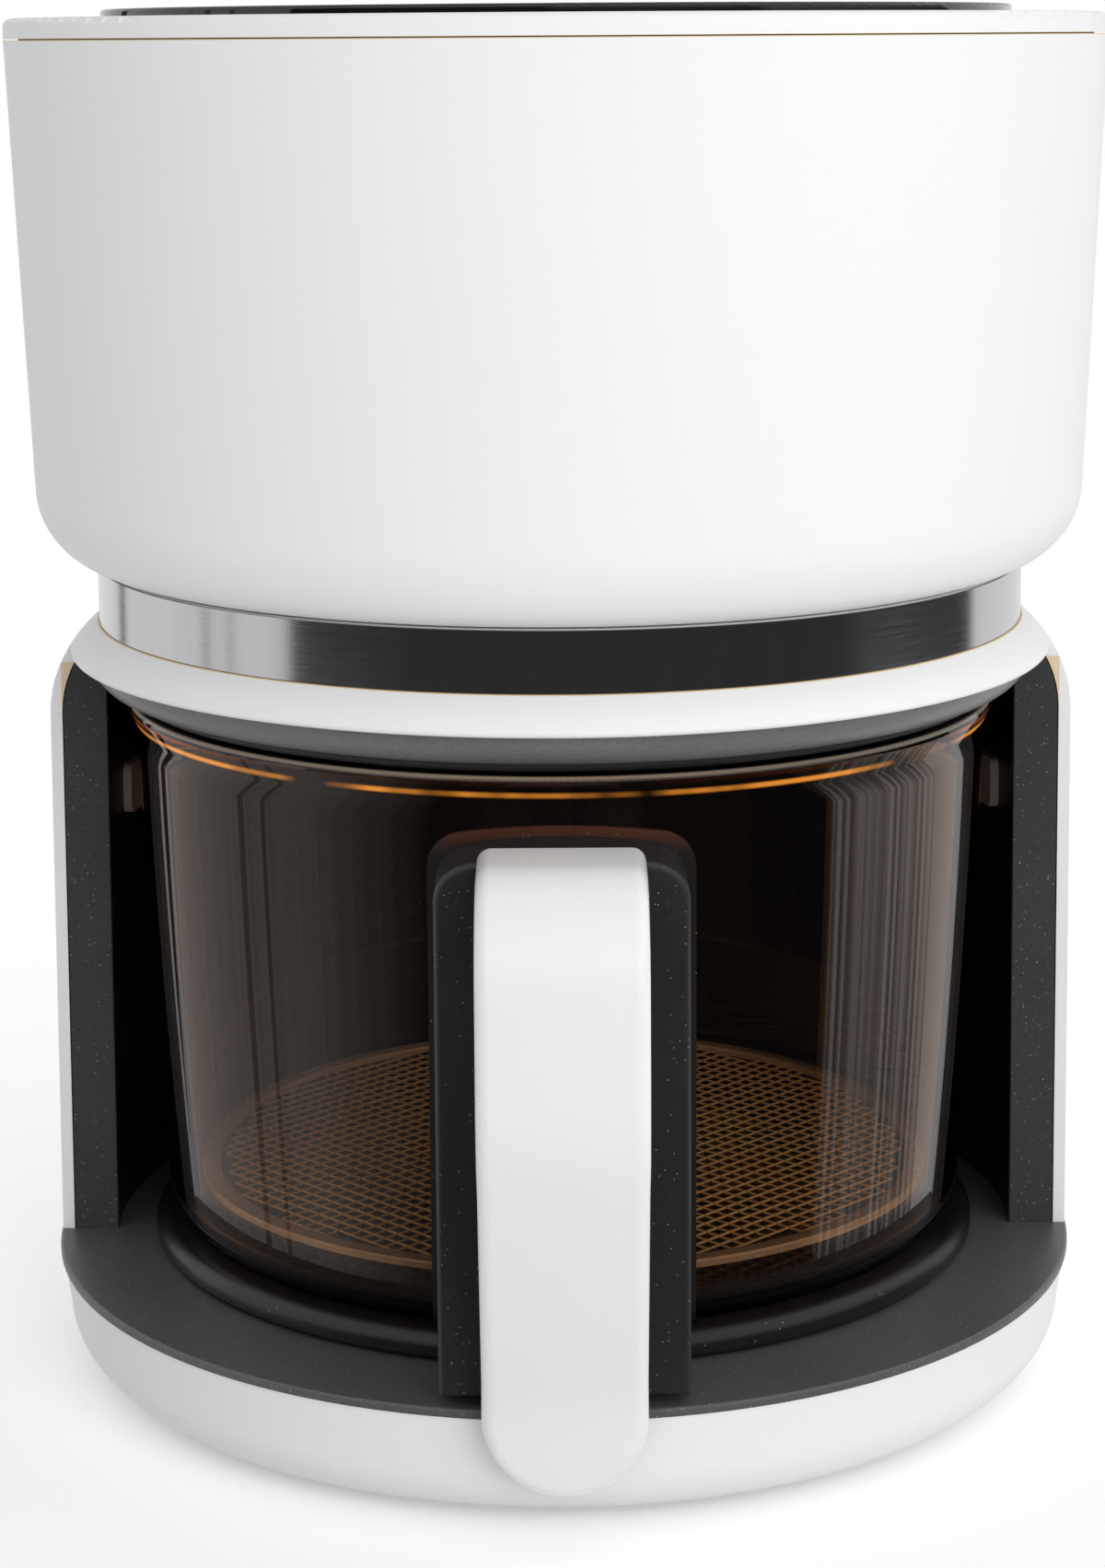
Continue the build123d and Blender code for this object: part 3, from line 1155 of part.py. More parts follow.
def handle_side(shift):
    """Side outline of all that lies behind the handle's outer face, moved in by a shift."""
    out = FilletPolyline(
        (BRACKET_FRONT - 60, HANDLE_TOP_Z - shift),
        (HANDLE_REACH - shift, HANDLE_TOP_Z - shift),
        (HANDLE_REACH - shift, HANDLE_BEND_Z - shift),
        (HANDLE_HEEL - shift, HANDLE_HEEL_Z - shift),
        (HANDLE_END - shift, HANDLE_END_Z - 20),
        radius=(HANDLE_TOP_BEND_R - shift, HANDLE_SOFT_BEND_R, HANDLE_SOFT_BEND_R),
    )
    closing = Polyline(out @ 1, (BRACKET_FRONT - 60, HANDLE_END_Z - 20), out @ 0)
    return make_face(out.edges() + closing.edges())


def side_prism(outline, half_width):
    """Extrudes a side outline, given as distance from the axis and height, to both sides."""
    plane = Plane(origin=(0, 0, 0), x_dir=(0, -1, 0), z_dir=(-1, 0, 0))
    return extrude(plane * outline, amount=half_width, both=True)


def handle_front(half_width, end_z):
    """Front outline of the grip, straight-sided with a half-round free end."""
    centre_z = end_z + half_width
    outline = Polyline((-half_width, centre_z), (-half_width, HANDLE_TOP_Z), (half_width, HANDLE_TOP_Z))
    outline += Line((half_width, HANDLE_TOP_Z), (half_width, centre_z))
    outline += ThreePointArc((half_width, centre_z), (0, end_z), (-half_width, centre_z))
    return make_face(outline.edges())


def handle_cover():
    """White outer cover of the handle, from the bracket round the grip to the free end."""
    half = HANDLE_W / 2
    body = side_prism(handle_side(0.0), half)
    body &= front_prism(handle_front(half, HANDLE_END_Z), BRACKET_FRONT + SNUG, 2 * BRACKET_FRONT)
    rims = [e for e in body.edges() if is_outer_rim(e, half)]
    body = fillet(rims, HANDLE_EDGE_R)
    return body - side_prism(handle_side(COVER_SHIFT), HANDLE_W)


def is_outer_rim(edge, half):
    """Picks the long edges where the outer face meets the sides."""
    centre = edge.center()
    on_side = abs(abs(centre.X) - half) < 0.01
    start, end = edge @ 0, edge @ 1
    in_front = min(-start.Y, -end.Y) > BRACKET_FRONT + 1
    return on_side and in_front and edge.length > 3


def handle_grip():
    """Black inner half of the handle with its neck on the bracket."""
    half = HANDLE_W / 2 - GRIP_INSET
    body = side_prism(handle_side(COVER_SHIFT + SNUG), half)
    body &= front_prism(handle_front(half, GRIP_END_Z), BRACKET_FRONT, 2 * BRACKET_FRONT)
    neck_z = HANDLE_TOP_Z - NECK_H
    neck_reach = HANDLE_REACH - GRIP_D - BRACKET_FRONT
    hand = FilletPolyline(
        (BRACKET_FRONT, neck_z),
        (HANDLE_REACH - GRIP_D, neck_z),
        (HANDLE_REACH - GRIP_D, HANDLE_BEND_Z - 4),
        (HANDLE_HEEL - 5.5, HANDLE_HEEL_Z + 10),
        (HANDLE_END - 3.4, GRIP_END_Z - 6),
        radius=(min(HAND_BEND_R, neck_reach / 2), HAND_KNEE_R, HAND_HEEL_R),
    )
    closing = Polyline(
        hand @ 1, (BRACKET_FRONT - 1, GRIP_END_Z - 6), (BRACKET_FRONT - 1, neck_z), hand @ 0
    )
    fingers = make_face(hand.edges() + closing.edges())
    return body - side_prism(fingers, HANDLE_W)


def handle_screws():
    """Two screws from inside the jar through the glass into the bracket."""
    screws = []
    for z in HANDLE_SCREW_ZS:
        inner_y = glass_r(z) - GLASS_T - CLAMP_T - SNUG
        head = Cylinder(HANDLE_SCREW_HEAD_R, HANDLE_SCREW_HEAD_H)
        head = fillet(head.edges().group_by(Axis.Z)[0], 0.8)
        head_y = HANDLE_SCREW_HEAD_H / 2 + HANDLE_SCREW_SEAT - inner_y
        head = Pos(0, head_y, z) * Rot(90, 0, 0) * head
        length = BRACKET_FRONT - inner_y - HANDLE_SCREW_SHORT + HANDLE_SCREW_HEAD_H
        shank = Pos(0, head_y - length / 2, z) * Rot(90, 0, 0) * Cylinder(HANDLE_SCREW_R, length)
        screws.append(head + shank)
    return group(screws)


def glass_r(z):
    """Outer radius of the glass wall at a height, on the arc between its corner and neck."""
    side = glass_side(0.0)
    (r0, z0), (r1, z1), (r2, z2) = side[2], side[3], side[4]
    t = (z - z0) / (z2 - z0)
    chord = r0 + (r2 - r0) * t
    return chord + 4 * t * (1 - t) * (r1 - (r0 + r2) / 2)


def clamp_plate():
    """Steel strip inside the glass that spreads the screws' load."""
    low_z, high_z = HANDLE_SCREW_ZS[0] - 10, HANDLE_SCREW_ZS[1] + 10
    outer = glass_envelope(-GLASS_T - SNUG)
    inner = glass_envelope(-GLASS_T - SNUG - CLAMP_T)
    strip = (outer - inner) & block(-CLAMP_W / 2, CLAMP_W / 2, -2 * GLASS_NECK_R, 0, low_z, high_z)
    return strip - handle_screw_holes(HANDLE_SCREW_R + SNUG)


def screw_sleeves():
    """Silicone sleeves that keep the screws off the glass."""
    sleeves = []
    wall = glass_envelope(0.0) - glass_envelope(-GLASS_T)
    tube = Cylinder(SLEEVE_R, HANDLE_SCREW_PASS / 2)
    tube -= Cylinder(HANDLE_SCREW_R + SNUG / 2, HANDLE_SCREW_PASS)
    for z in HANDLE_SCREW_ZS:
        sleeves.append(wall & (Pos(0, -GLASS_NECK_R, z) * Rot(90, 0, 0) * tube))
    return group(sleeves)


def rack_rim():
    """Flat steel ring round the wire mesh."""
    in_r = RACK_R - RACK_BAND
    rim = disc(RACK_R, RACK_Z, RACK_Z + RACK_T) - disc(in_r, RACK_Z - 1, RACK_Z + RACK_T + 1)
    return fillet(rim.edges().group_by(Axis.Z)[-1], 0.5)


def rack_mesh():
    """Diamond mesh of the rack, one holed sheet."""
    out_r = RACK_R - RACK_BAND - SNUG
    sheet = Circle(out_r)
    cell = MESH_PITCH - MESH_WIRE
    reach = out_r - MESH_WIRE - cell * math.sqrt(0.5)
    count = int(out_r / MESH_PITCH) + 1
    half_diagonal = MESH_PITCH * math.sqrt(0.5)
    cells = []
    for i in range(-2 * count, 2 * count + 1):
        for j in range(-2 * count, 2 * count + 1):
            x, y = (i + j) * half_diagonal, (i - j) * half_diagonal
            if math.hypot(x, y) < reach:
                cells.append(Pos(x, y) * Rot(0, 0, 45) * Rectangle(cell, cell))
    sheet -= cells
    z = RACK_Z + (RACK_T - MESH_T) / 2
    return extrude(Pos(0, 0, z) * sheet, amount=MESH_T)


def rack_feet():
    """Four silicone feet that stand on the jar's floor and grip the rim."""
    low_z = GLASS_FLOOR_Z + JOINT
    foot = disc(RACK_FOOT_R, low_z, RACK_Z - SNUG)
    foot = fillet(foot.edges().group_by(Axis.Z)[0], 1.0)
    reach = RACK_R - RACK_BAND / 2 - 2.2
    return group(place(foot, turn, reach) for turn in around(RACK_FEET, 45.0))


PARTS = [
    base_shell, base_plate, rubber_feet, base_screws, base_tray, main_frame, column_liner,
    jar_bumpers, trim_band, head_shell, rear_grille, top_cover, control_panel, control_board,
    chamber_skirt, chamber_seal, heat_chamber, heating_element, element_clips, heater_guard,
    heat_shield, exhaust_duct, convection_fan, fan_nut, motor_shaft, cooling_fan, motor,
    motor_bushes, motor_bracket, power_board, temperature_sensor, thermal_fuse,
    interlock_switch, interlock_plunger, wiring_harness, cord_inlet,
    glass_jar, jar_foot, bracket_pad, handle_bracket, handle_cover, handle_grip,
    handle_screws, clamp_plate, screw_sleeves, rack_rim, rack_mesh, rack_feet,
]

os.makedirs("parts", exist_ok=True)
for make in PARTS:
    solid = make()
    print(make.__name__, len(solid.solids()), round(solid.volume))
    export_step(solid, "parts/" + make.__name__ + ".step")
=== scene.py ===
# %% [markdown]
# A countertop air fryer with a glass jar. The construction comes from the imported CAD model, which
# is loaded first and never moved. This lesson dresses it: a camera like the photograph's, a pale
# studio, a material for every surface, and finer pieces where thin wire or clear glass needs them.

# %% Load the frame
import bpy
import math
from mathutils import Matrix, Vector


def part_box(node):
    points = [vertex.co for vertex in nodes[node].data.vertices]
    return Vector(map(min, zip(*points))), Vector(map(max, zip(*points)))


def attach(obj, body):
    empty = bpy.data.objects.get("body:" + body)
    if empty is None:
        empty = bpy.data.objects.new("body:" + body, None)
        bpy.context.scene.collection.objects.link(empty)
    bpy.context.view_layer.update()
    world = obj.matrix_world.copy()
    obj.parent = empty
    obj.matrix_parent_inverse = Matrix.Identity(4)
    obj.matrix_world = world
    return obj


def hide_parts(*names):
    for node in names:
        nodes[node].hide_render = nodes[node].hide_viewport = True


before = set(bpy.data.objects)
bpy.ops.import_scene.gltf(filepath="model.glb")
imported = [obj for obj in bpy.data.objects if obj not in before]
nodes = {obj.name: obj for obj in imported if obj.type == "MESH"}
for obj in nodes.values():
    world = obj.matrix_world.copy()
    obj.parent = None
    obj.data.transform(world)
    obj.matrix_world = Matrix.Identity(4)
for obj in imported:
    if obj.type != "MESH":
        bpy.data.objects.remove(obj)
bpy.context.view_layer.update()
scene = bpy.context.scene
scene.view_settings.view_transform = "Standard"

# %% [markdown]
# The camera stands level with the joint under the top cover, so that joint is a straight line in
# the picture and everything below it curves down more and more. Part of the drop down to the
# object's middle is made by turning the camera and part by shifting its lens, which keeps the
# sides nearly upright and still leaves the object in the picture from every other side.

# %% Camera
PICTURE = (1200, 1703)
HORIZON_Y = 39.0
AXIS_X = 603.8
FOCAL_PX = 3640.0
EYE = (0.0, -0.850, 0.337)
SHIFT_Y = -0.22
ROLL = math.radians(0.38)

camera_data = bpy.data.cameras.new("camera")
camera = bpy.data.objects.new("camera", camera_data)
scene.collection.objects.link(camera)
scene.camera = camera
camera_data.sensor_width = 36.0
camera_data.lens = FOCAL_PX / PICTURE[1] * camera_data.sensor_width
camera_data.shift_y = SHIFT_Y
camera_data.shift_x = (PICTURE[0] / 2 - AXIS_X) / PICTURE[1]
camera_data.clip_start, camera_data.clip_end = 0.05, 30.0
drop_px = PICTURE[1] / 2 + SHIFT_Y * PICTURE[1] - HORIZON_Y
pitch = math.atan(drop_px / FOCAL_PX)
camera.location = EYE
camera.rotation_euler = (math.pi / 2 - pitch, ROLL, 0.0)
print("pitch", round(math.degrees(pitch), 2), "lens", round(camera_data.lens, 2))

# %% [markdown]
# Shader sums read best as sums. This small class wraps one output of a node, so that a line such
# as `1 - mask * 0.5` adds the Math nodes it needs, and `Graph.node` makes any other node from its
# type, its settings and what goes into its sockets.

# %% Shader sums
class Out:
    """One output of a node, which can stand in a sum."""

    def __init__(self, graph, socket):
        self.graph, self.socket = graph, socket

    def math(self, operation, a, b=0.0, c=0.0):
        return self.graph.node("Math", {"operation": operation}, {0: a, 1: b, 2: c})

    def __add__(self, other): return self.math("ADD", self, other)
    def __radd__(self, other): return self.math("ADD", other, self)
    def __sub__(self, other): return self.math("SUBTRACT", self, other)
    def __rsub__(self, other): return self.math("SUBTRACT", other, self)
    def __mul__(self, other): return self.math("MULTIPLY", self, other)
    def __rmul__(self, other): return self.math("MULTIPLY", other, self)
    def __pow__(self, other): return self.math("POWER", self, other)
    def __neg__(self): return self.math("MULTIPLY", self, -1.0)
    def above(self, other): return self.math("GREATER_THAN", self, other)
    def below(self, other): return self.math("LESS_THAN", self, other)
    def absolute(self): return self.math("ABSOLUTE", self)

    def ramp(self, low, high, to_low=0.0, to_high=1.0):
        """Straight change from to_low at low to to_high at high, held flat outside."""
        return self.graph.node(
            "MapRange", {"clamp": True},
            {"Value": self, "From Min": low, "From Max": high, "To Min": to_low, "To Max": to_high},
        )


class Graph:
    """A node tree that is filled in from Python."""

    def __init__(self, tree):
        self.tree = tree
        tree.nodes.clear()

    def node(self, kind, settings=None, inputs=None, out=0):
        made = self.tree.nodes.new("ShaderNode" + kind)
        for name, value in (settings or {}).items():
            setattr(made, name, value)
        for name, value in (inputs or {}).items():
            socket = made.inputs[name]
            if isinstance(value, Out):
                self.tree.links.new(value.socket, socket)
            elif hasattr(socket.default_value, "__len__") and len(socket.default_value) == 4:
                socket.default_value = (*value, 1.0) if len(value) == 3 else value
            else:
                socket.default_value = value
        return Out(self, made.outputs[out]) if made.outputs else made

    def mix(self, factor, a, b):
        """Colour mix, because a Math node turns a colour grey."""
        return self.node("MixRGB", {}, {0: factor, 1: a, 2: b})

    def place(self):
        """Object coordinates as x, y and z."""
        at = self.node("TexCoord", {}, {}, "Object")
        return at, *[self.node("SeparateXYZ", {}, {0: at}, axis) for axis in range(3)]

    def noise(self, at, scale, detail=2.0, roughness=0.5):
        return self.node(
            "TexNoise", {}, {"Vector": at, "Scale": scale, "Detail": detail, "Roughness": roughness}
        )

    def stretch(self, at, x, y, z):
        """Coordinates scaled by a different amount along each axis."""
        return self.node("Mapping", {}, {"Vector": at, "Scale": (x, y, z)})

    def bump(self, height, strength, distance):
        return self.node("Bump", {}, {"Strength": strength, "Distance": distance, "Height": height})


print("helpers ready")

# %% [markdown]
# Every finish on the object is one Principled shader in a node tree of its own. `finish` makes the
# material, lets a short function fill in what varies over the surface, and keeps the constant
# values on the shader's own sockets.

# %% Material maker
finishes = {}


def finish(name, base=(0.8, 0.8, 0.8), roughness=0.5, vary=None, **constants):
    """A named material; vary(graph) gives the socket values that change over the surface."""
    material = bpy.data.materials.new(name)
    material.use_nodes = True
    graph = Graph(material.node_tree)
    inputs = {"Base Color": base, "Roughness": roughness}
    inputs.update({key.replace("_", " "): value for key, value in constants.items()})
    if vary:
        inputs.update(vary(graph))
    shader = graph.node("BsdfPrincipled", {}, inputs, "BSDF")
    graph.node("OutputMaterial", {}, {"Surface": shader})
    finishes[name] = material
    return material


def dress(name, *targets):
    """Puts one finish on CAD nodes or new pieces."""
    for target in targets:
        thing = nodes[target] if isinstance(target, str) else target
        thing.data.materials.clear()
        thing.data.materials.append(finishes[name])


print("material maker ready")

# %% [markdown]
# The white mouldings have a fine, even spark-eroded grain: nearly matte, with a soft sheen. The
# colour stays close to one white, with broad faint clouds so that it never looks like flat paint.
# Where two mouldings meet, a thin warm line of painted light stands for light that goes round
# inside the joint, and the frame's inner wall below the lips gets the same painted warm light.

# %% White mouldings
def fine_grain(graph, at, strength, size=9000.0):
    return graph.bump(graph.noise(at, size, 1.0), strength, 0.00004)


PAINTED_WARM_LIGHT = (0.8, 0.64, 0.42)
SEAM_HALF = 0.0003
LIPS_TOP = 0.1798


def white_vary(tone, low, high, seams=(), painted_light_r=0.0):
    """White with painted warm light in a line at each seam height, and on the wall inside a given
    radius.
    """
    def vary(graph):
        at, x, y, z = graph.place()
        cloud = graph.noise(at, 14.0, 3.0)
        colour = graph.mix(cloud, tuple(c * 0.985 for c in tone), tone)
        # Painted warm light: a thin warm line at each seam height, standing for light inside the
        # joint.
        for height in seams:
            colour = graph.mix((z - height).absolute().below(SEAM_HALF), colour, PAINTED_WARM_LIGHT)
        # Painted warm light on the frame's inner wall, below the lips.
        if painted_light_r:
            inside = (x * x + y * y).below(painted_light_r * painted_light_r) * z.below(LIPS_TOP)
            colour = graph.mix(inside, colour, PAINTED_WARM_LIGHT)
        return {
            "Base Color": colour,
            "Roughness": graph.noise(at, 420.0, 2.0).ramp(0.35, 0.65, low, high),
            "Normal": fine_grain(graph, at, 0.25),
        }
    return vary


SHELL_WHITE = (0.88, 0.88, 0.883)
finish("white_shell", vary=white_vary(SHELL_WHITE, 0.42, 0.52, (0.3369, 0.0288)),
       Specular_IOR_Level=0.4)
finish("white_frame", vary=white_vary(SHELL_WHITE, 0.42, 0.52, (0.1917,), 0.1274),
       Specular_IOR_Level=0.4)
finish("white_gloss", vary=white_vary((0.86, 0.86, 0.865), 0.12, 0.18), Specular_IOR_Level=0.5)
print("white finishes")

# %% [markdown]
# The black and charcoal mouldings are where dust shows. Tiny pale specks come from a Voronoi
# pattern: only the cells whose random number is high enough carry one, so they lie scattered. The
# lining's round wall lies in the dark behind the jar, so its near black colour is painted shade.
# The pad is black, and its top edge carries a painted brown light.

# %% Black and charcoal mouldings
def specks(graph, at, scale, share, radius):
    """Mask of scattered round specks."""
    cells = {"Vector": at, "Scale": scale}
    near = graph.node("TexVoronoi", {}, cells, "Distance")
    pick = graph.node("TexVoronoi", {}, cells, "Color")
    chosen = graph.node("SeparateColor", {}, {0: pick}, 0).above(1.0 - share)
    return near.ramp(radius * 0.4, radius, 1.0, 0.0) * chosen


BLACK_AND_PAINTED_SHADE = (0.012, 0.011, 0.01)
DUST = (0.45, 0.44, 0.42)
PAINTED_LIGHT_FADE = 0.006


def charcoal_vary(tone, low, high, dust, size=1500.0, painted_shade_r=0.0, painted_light_z=0.0):
    """Grained dark moulding; near black as painted shade inside a given radius, and its tone as
    painted light only above a given height, near black under it.
    """
    def vary(graph):
        at, x, y, z = graph.place()
        grain = graph.noise(at, 2600.0, 2.0).ramp(0.36, 0.64)
        cloud = graph.noise(at, 30.0, 4.0)
        dark = graph.mix(grain * 0.6 + cloud * 0.4, tuple(c * 0.62 for c in tone), tone)
        # Painted shade: near black inside the given radius, where the lining's round wall is in the
        # dark.
        if painted_shade_r:
            dark = graph.mix((x * x + y * y).below(painted_shade_r * painted_shade_r), dark, BLACK_AND_PAINTED_SHADE)
        # Painted light: the tone shows only above the given height, near black below it.
        if painted_light_z:
            dark = graph.mix(z.ramp(painted_light_z - PAINTED_LIGHT_FADE, painted_light_z), BLACK_AND_PAINTED_SHADE, dark)
        spots = specks(graph, at, size, dust, 0.26)
        return {
            "Base Color": graph.mix(spots, dark, DUST),
            "Roughness": cloud.ramp(0.3, 0.7, low, high),
            "Normal": graph.bump(grain, 0.35, 0.00006),
        }
    return vary


LINER_WALL_R = 0.1162
# The lining's round wall inside LINER_WALL_R gets near black painted shade.
finish("charcoal", vary=charcoal_vary((0.058, 0.058, 0.06), 0.42, 0.56, 0.1, painted_shade_r=LINER_WALL_R))
finish("tray_charcoal", vary=charcoal_vary((0.115, 0.116, 0.117), 0.34, 0.44, 0.16))
finish("skirt_grey", vary=charcoal_vary((0.2, 0.2, 0.203), 0.28, 0.38, 0.01))
finish("bracket_black", vary=charcoal_vary((0.028, 0.028, 0.029), 0.34, 0.46, 0.06))
finish("black_satin", vary=charcoal_vary((0.009, 0.009, 0.01), 0.28, 0.4, 0.02))
# The pad is black; its brown top edge is painted light.
PAD_PAINTED_LIGHT_Z = 0.1585
finish("pad_painted_brown_light", vary=charcoal_vary((0.1, 0.03, 0.014), 0.35, 0.5, 0.02, painted_light_z=PAD_PAINTED_LIGHT_Z))
finish("black_matte", vary=charcoal_vary((0.02, 0.02, 0.021), 0.55, 0.7, 0.01))
print("dark finishes")

# %% [markdown]
# The panel is a sheet of black glass, and the trim band is steel brushed along its length. The
# brushing is noise stretched round the band: it varies with height and hardly along the length.

# %% Panel and brushed band
finish("panel_glass", base=(0.006, 0.006, 0.007), roughness=0.05, Specular_IOR_Level=0.6)


def brushed_vary(graph):
    at, x, y, z = graph.place()
    lines = graph.noise(graph.stretch(at, 40.0, 40.0, 9000.0), 1.0, 4.0, 0.7)
    return {
        "Base Color": graph.mix(lines, (0.5, 0.5, 0.51), (0.62, 0.62, 0.63)),
        "Roughness": lines.ramp(0.3, 0.7, 0.1, 0.2),
        "Normal": graph.bump(lines, 0.12, 0.00002),
    }


finish("brushed_steel", vary=brushed_vary, Metallic=1.0)
print("panel and band")

# %% [markdown]
# Metal: drawn sheet, turned shafts, the oxidised sheath of the element and the wires of the rack.
# The rack's wires are pale and only a little metallic, or they would go black behind smoked glass.

# %% Inner metals
def metal_vary(tone, low, high, scale=60.0):
    def vary(graph):
        at, x, y, z = graph.place()
        cloud = graph.noise(at, scale, 4.0, 0.6)
        fine = graph.noise(at, scale * 30, 2.0)
        return {
            "Base Color": graph.mix(cloud, tuple(c * 0.8 for c in tone), tone),
            "Roughness": (cloud * 0.7 + fine * 0.3).ramp(0.35, 0.65, low, high),
            "Normal": graph.bump(fine, 0.1, 0.00003),
        }
    return vary


finish("sheet_steel", vary=metal_vary((0.56, 0.56, 0.56), 0.25, 0.4), Metallic=1.0)
finish("bright_steel", vary=metal_vary((0.68, 0.67, 0.66), 0.12, 0.22), Metallic=1.0)
finish("rim_wire", vary=metal_vary((0.95, 0.92, 0.86), 0.2, 0.3, 160.0), Metallic=0.3)
finish("rack_wire", vary=metal_vary((0.98, 0.86, 0.6), 0.22, 0.34, 160.0), Metallic=0.05)
finish("aluminium", vary=metal_vary((0.72, 0.72, 0.72), 0.22, 0.34), Metallic=1.0)
finish("element_sheath", vary=metal_vary((0.12, 0.11, 0.1), 0.45, 0.6, 120.0), Metallic=0.6)
finish("bush_bronze", vary=metal_vary((0.5, 0.34, 0.17), 0.3, 0.45), Metallic=1.0)
print("metals")

# %% [markdown]
# Rubber, silicone, circuit board and wire sleeve never show in the photograph, but they are seen
# when the jar is out or the object is taken apart, so each has its own grain and tone.

# %% Soft and electrical finishes
finish("rubber", vary=charcoal_vary((0.018, 0.018, 0.018), 0.75, 0.9, 0.02))
finish("silicone", vary=charcoal_vary((0.62, 0.5, 0.42), 0.5, 0.65, 0.01))
finish("dark_silicone", vary=charcoal_vary((0.03, 0.03, 0.03), 0.5, 0.65, 0.01))
finish("board_green", vary=charcoal_vary((0.03, 0.16, 0.06), 0.35, 0.5, 0.03, 260.0))
finish("pale_plastic", vary=charcoal_vary((0.6, 0.58, 0.52), 0.4, 0.5, 0.0))
finish("wire_sleeve", vary=charcoal_vary((0.05, 0.05, 0.052), 0.6, 0.75, 0.02))
print("soft finishes")

# %% [markdown]
# Smoked glass. Its surface is clear, and its body swallows blue and green light, so a long way
# through the rim or the floor's corner looks deep amber and the thin wall only brown. For shadow
# rays the surface turns into plain transparency, because light that had to find its way through two
# curved walls by chance would leave the inside of the jar black and grainy. Light on the rim is
# painted: a small emission draws a painted pale highlight line on its crest and a painted amber
# glow line below, on the front of the outer wall only.

# %% Smoked glass
FRONT_Y, OUTER_R = -0.01, 0.106
CREST_HIGHLIGHT_Z, AMBER_GLOW_Z = 0.1709, 0.1668


def smoked_glass():
    material = bpy.data.materials.new("smoked_glass")
    material.use_nodes = True
    graph = Graph(material.node_tree)
    at, x, y, z = graph.place()
    outside = y.below(FRONT_Y) * (x * x + y * y).above(OUTER_R * OUTER_R)
    # Painted light: emission draws a pale highlight line on the rim's crest and an amber glow line
    # below it.
    glow = graph.noise(graph.stretch(at, 28.0, 0.0, 0.0), 1.0, 3.0).ramp(0.42, 0.56)
    crest_highlight_paint = outside * (z - CREST_HIGHLIGHT_Z).absolute().ramp(0.0002, 0.0005, 1.0, 0.0)
    amber_glow_paint = outside * (z - AMBER_GLOW_Z).absolute().ramp(0.0003, 0.0009, 1.0, 0.0) * glow
    lines = graph.mix(crest_highlight_paint, (0.0, 0.0, 0.0), (0.16, 0.13, 0.1))
    lines = graph.mix(amber_glow_paint, lines, (0.75, 0.26, 0.03))
    glass = graph.node(
        "BsdfPrincipled", {},
        {"Base Color": (1.0, 1.0, 1.0), "Roughness": 0.0, "IOR": 1.5, "Transmission Weight": 1.0,
         "Emission Color": lines, "Emission Strength": 1.0},
        "BSDF",
    )
    clear = graph.node("BsdfTransparent", {}, {"Color": (0.92, 0.92, 0.92)})
    shadow = graph.node("LightPath", {}, {}, "Is Shadow Ray")
    both = graph.node("MixShader", {}, {0: shadow, 1: glass, 2: clear})
    body = graph.node("VolumeAbsorption", {}, {"Color": (0.66, 0.38, 0.06), "Density": 210.0})
    graph.node("OutputMaterial", {}, {"Surface": both, "Volume": body})
    finishes["smoked_glass"] = material


smoked_glass()
print("glass")

# %% [markdown]
# CAD nodes arrive as loose flat triangles. A Weld modifier joins them, smooth faces round them off
# and an Edge Split modifier keeps the real corners sharp, all without touching the mesh itself.

# %% Smooth the CAD nodes
def smooth_node(name, angle=28.0):
    thing = nodes[name]
    weld = thing.modifiers.new("weld", "WELD")
    weld.merge_threshold = 0.00001
    split = thing.modifiers.new("corners", "EDGE_SPLIT")
    split.split_angle = math.radians(angle)
    for polygon in thing.data.polygons:
        polygon.use_smooth = True


for name in nodes:
    smooth_node(name)
print("smoothed", len(nodes))

# %% [markdown]
# A round piece is turned like a pot: a ring of points at the first radius and height is extruded
# from one place of the profile to the next, and each new ring is scaled to its own radius. A
# profile that ends on the axis is closed by merging its last ring into one point.

# %% Turning helper
def edit(thing):
    """Makes a piece active on its own and enters edit mode with everything selected."""
    bpy.ops.object.select_all(action="DESELECT")
    bpy.context.view_layer.objects.active = thing
    thing.select_set(True)
    bpy.ops.object.mode_set(mode="EDIT")
    bpy.ops.mesh.select_all(action="SELECT")


ON_AXIS = 1e-5


def turned(name, profile, steps):
    """Solid or shell of revolution about Z from (radius, height) places in metres."""
    (r, z), rest = profile[0], profile[1:]
    bpy.ops.object.select_all(action="DESELECT")
    bpy.ops.mesh.primitive_circle_add(vertices=steps, radius=max(r, ON_AXIS), location=(0, 0, z))
    thing = bpy.context.active_object
    thing.name = name
    bpy.ops.object.transform_apply(location=True)
    edit(thing)
    for next_r, next_z in rest:
        bpy.ops.mesh.extrude_edges_move(TRANSFORM_OT_translate={"value": (0, 0, next_z - z)})
        scale = max(next_r, ON_AXIS) / max(r, ON_AXIS)
        bpy.ops.transform.resize(value=(scale, scale, 1), center_override=(0, 0, next_z))
        r, z = next_r, next_z
    bpy.ops.mesh.select_all(action="SELECT")
    bpy.ops.mesh.remove_doubles(threshold=4e-6)
    bpy.ops.mesh.normals_make_consistent(inside=False)
    bpy.ops.object.mode_set(mode="OBJECT")
    bpy.ops.object.shade_smooth()
    return thing


def arc(centre, radius, start, stop, count):
    """Places on a circle, from one angle in degrees to another."""
    turns = [math.radians(start + (stop - start) * i / count) for i in range(count + 1)]
    return [(centre[0] + radius * math.cos(t), centre[1] + radius * math.sin(t)) for t in turns]


def apply_modifiers(thing):
    bpy.ops.object.select_all(action="DESELECT")
    bpy.context.view_layer.objects.active = thing
    thing.select_set(True)
    for modifier in list(thing.modifiers):
        bpy.ops.object.modifier_apply(modifier=modifier.name)


print("turning helper ready")

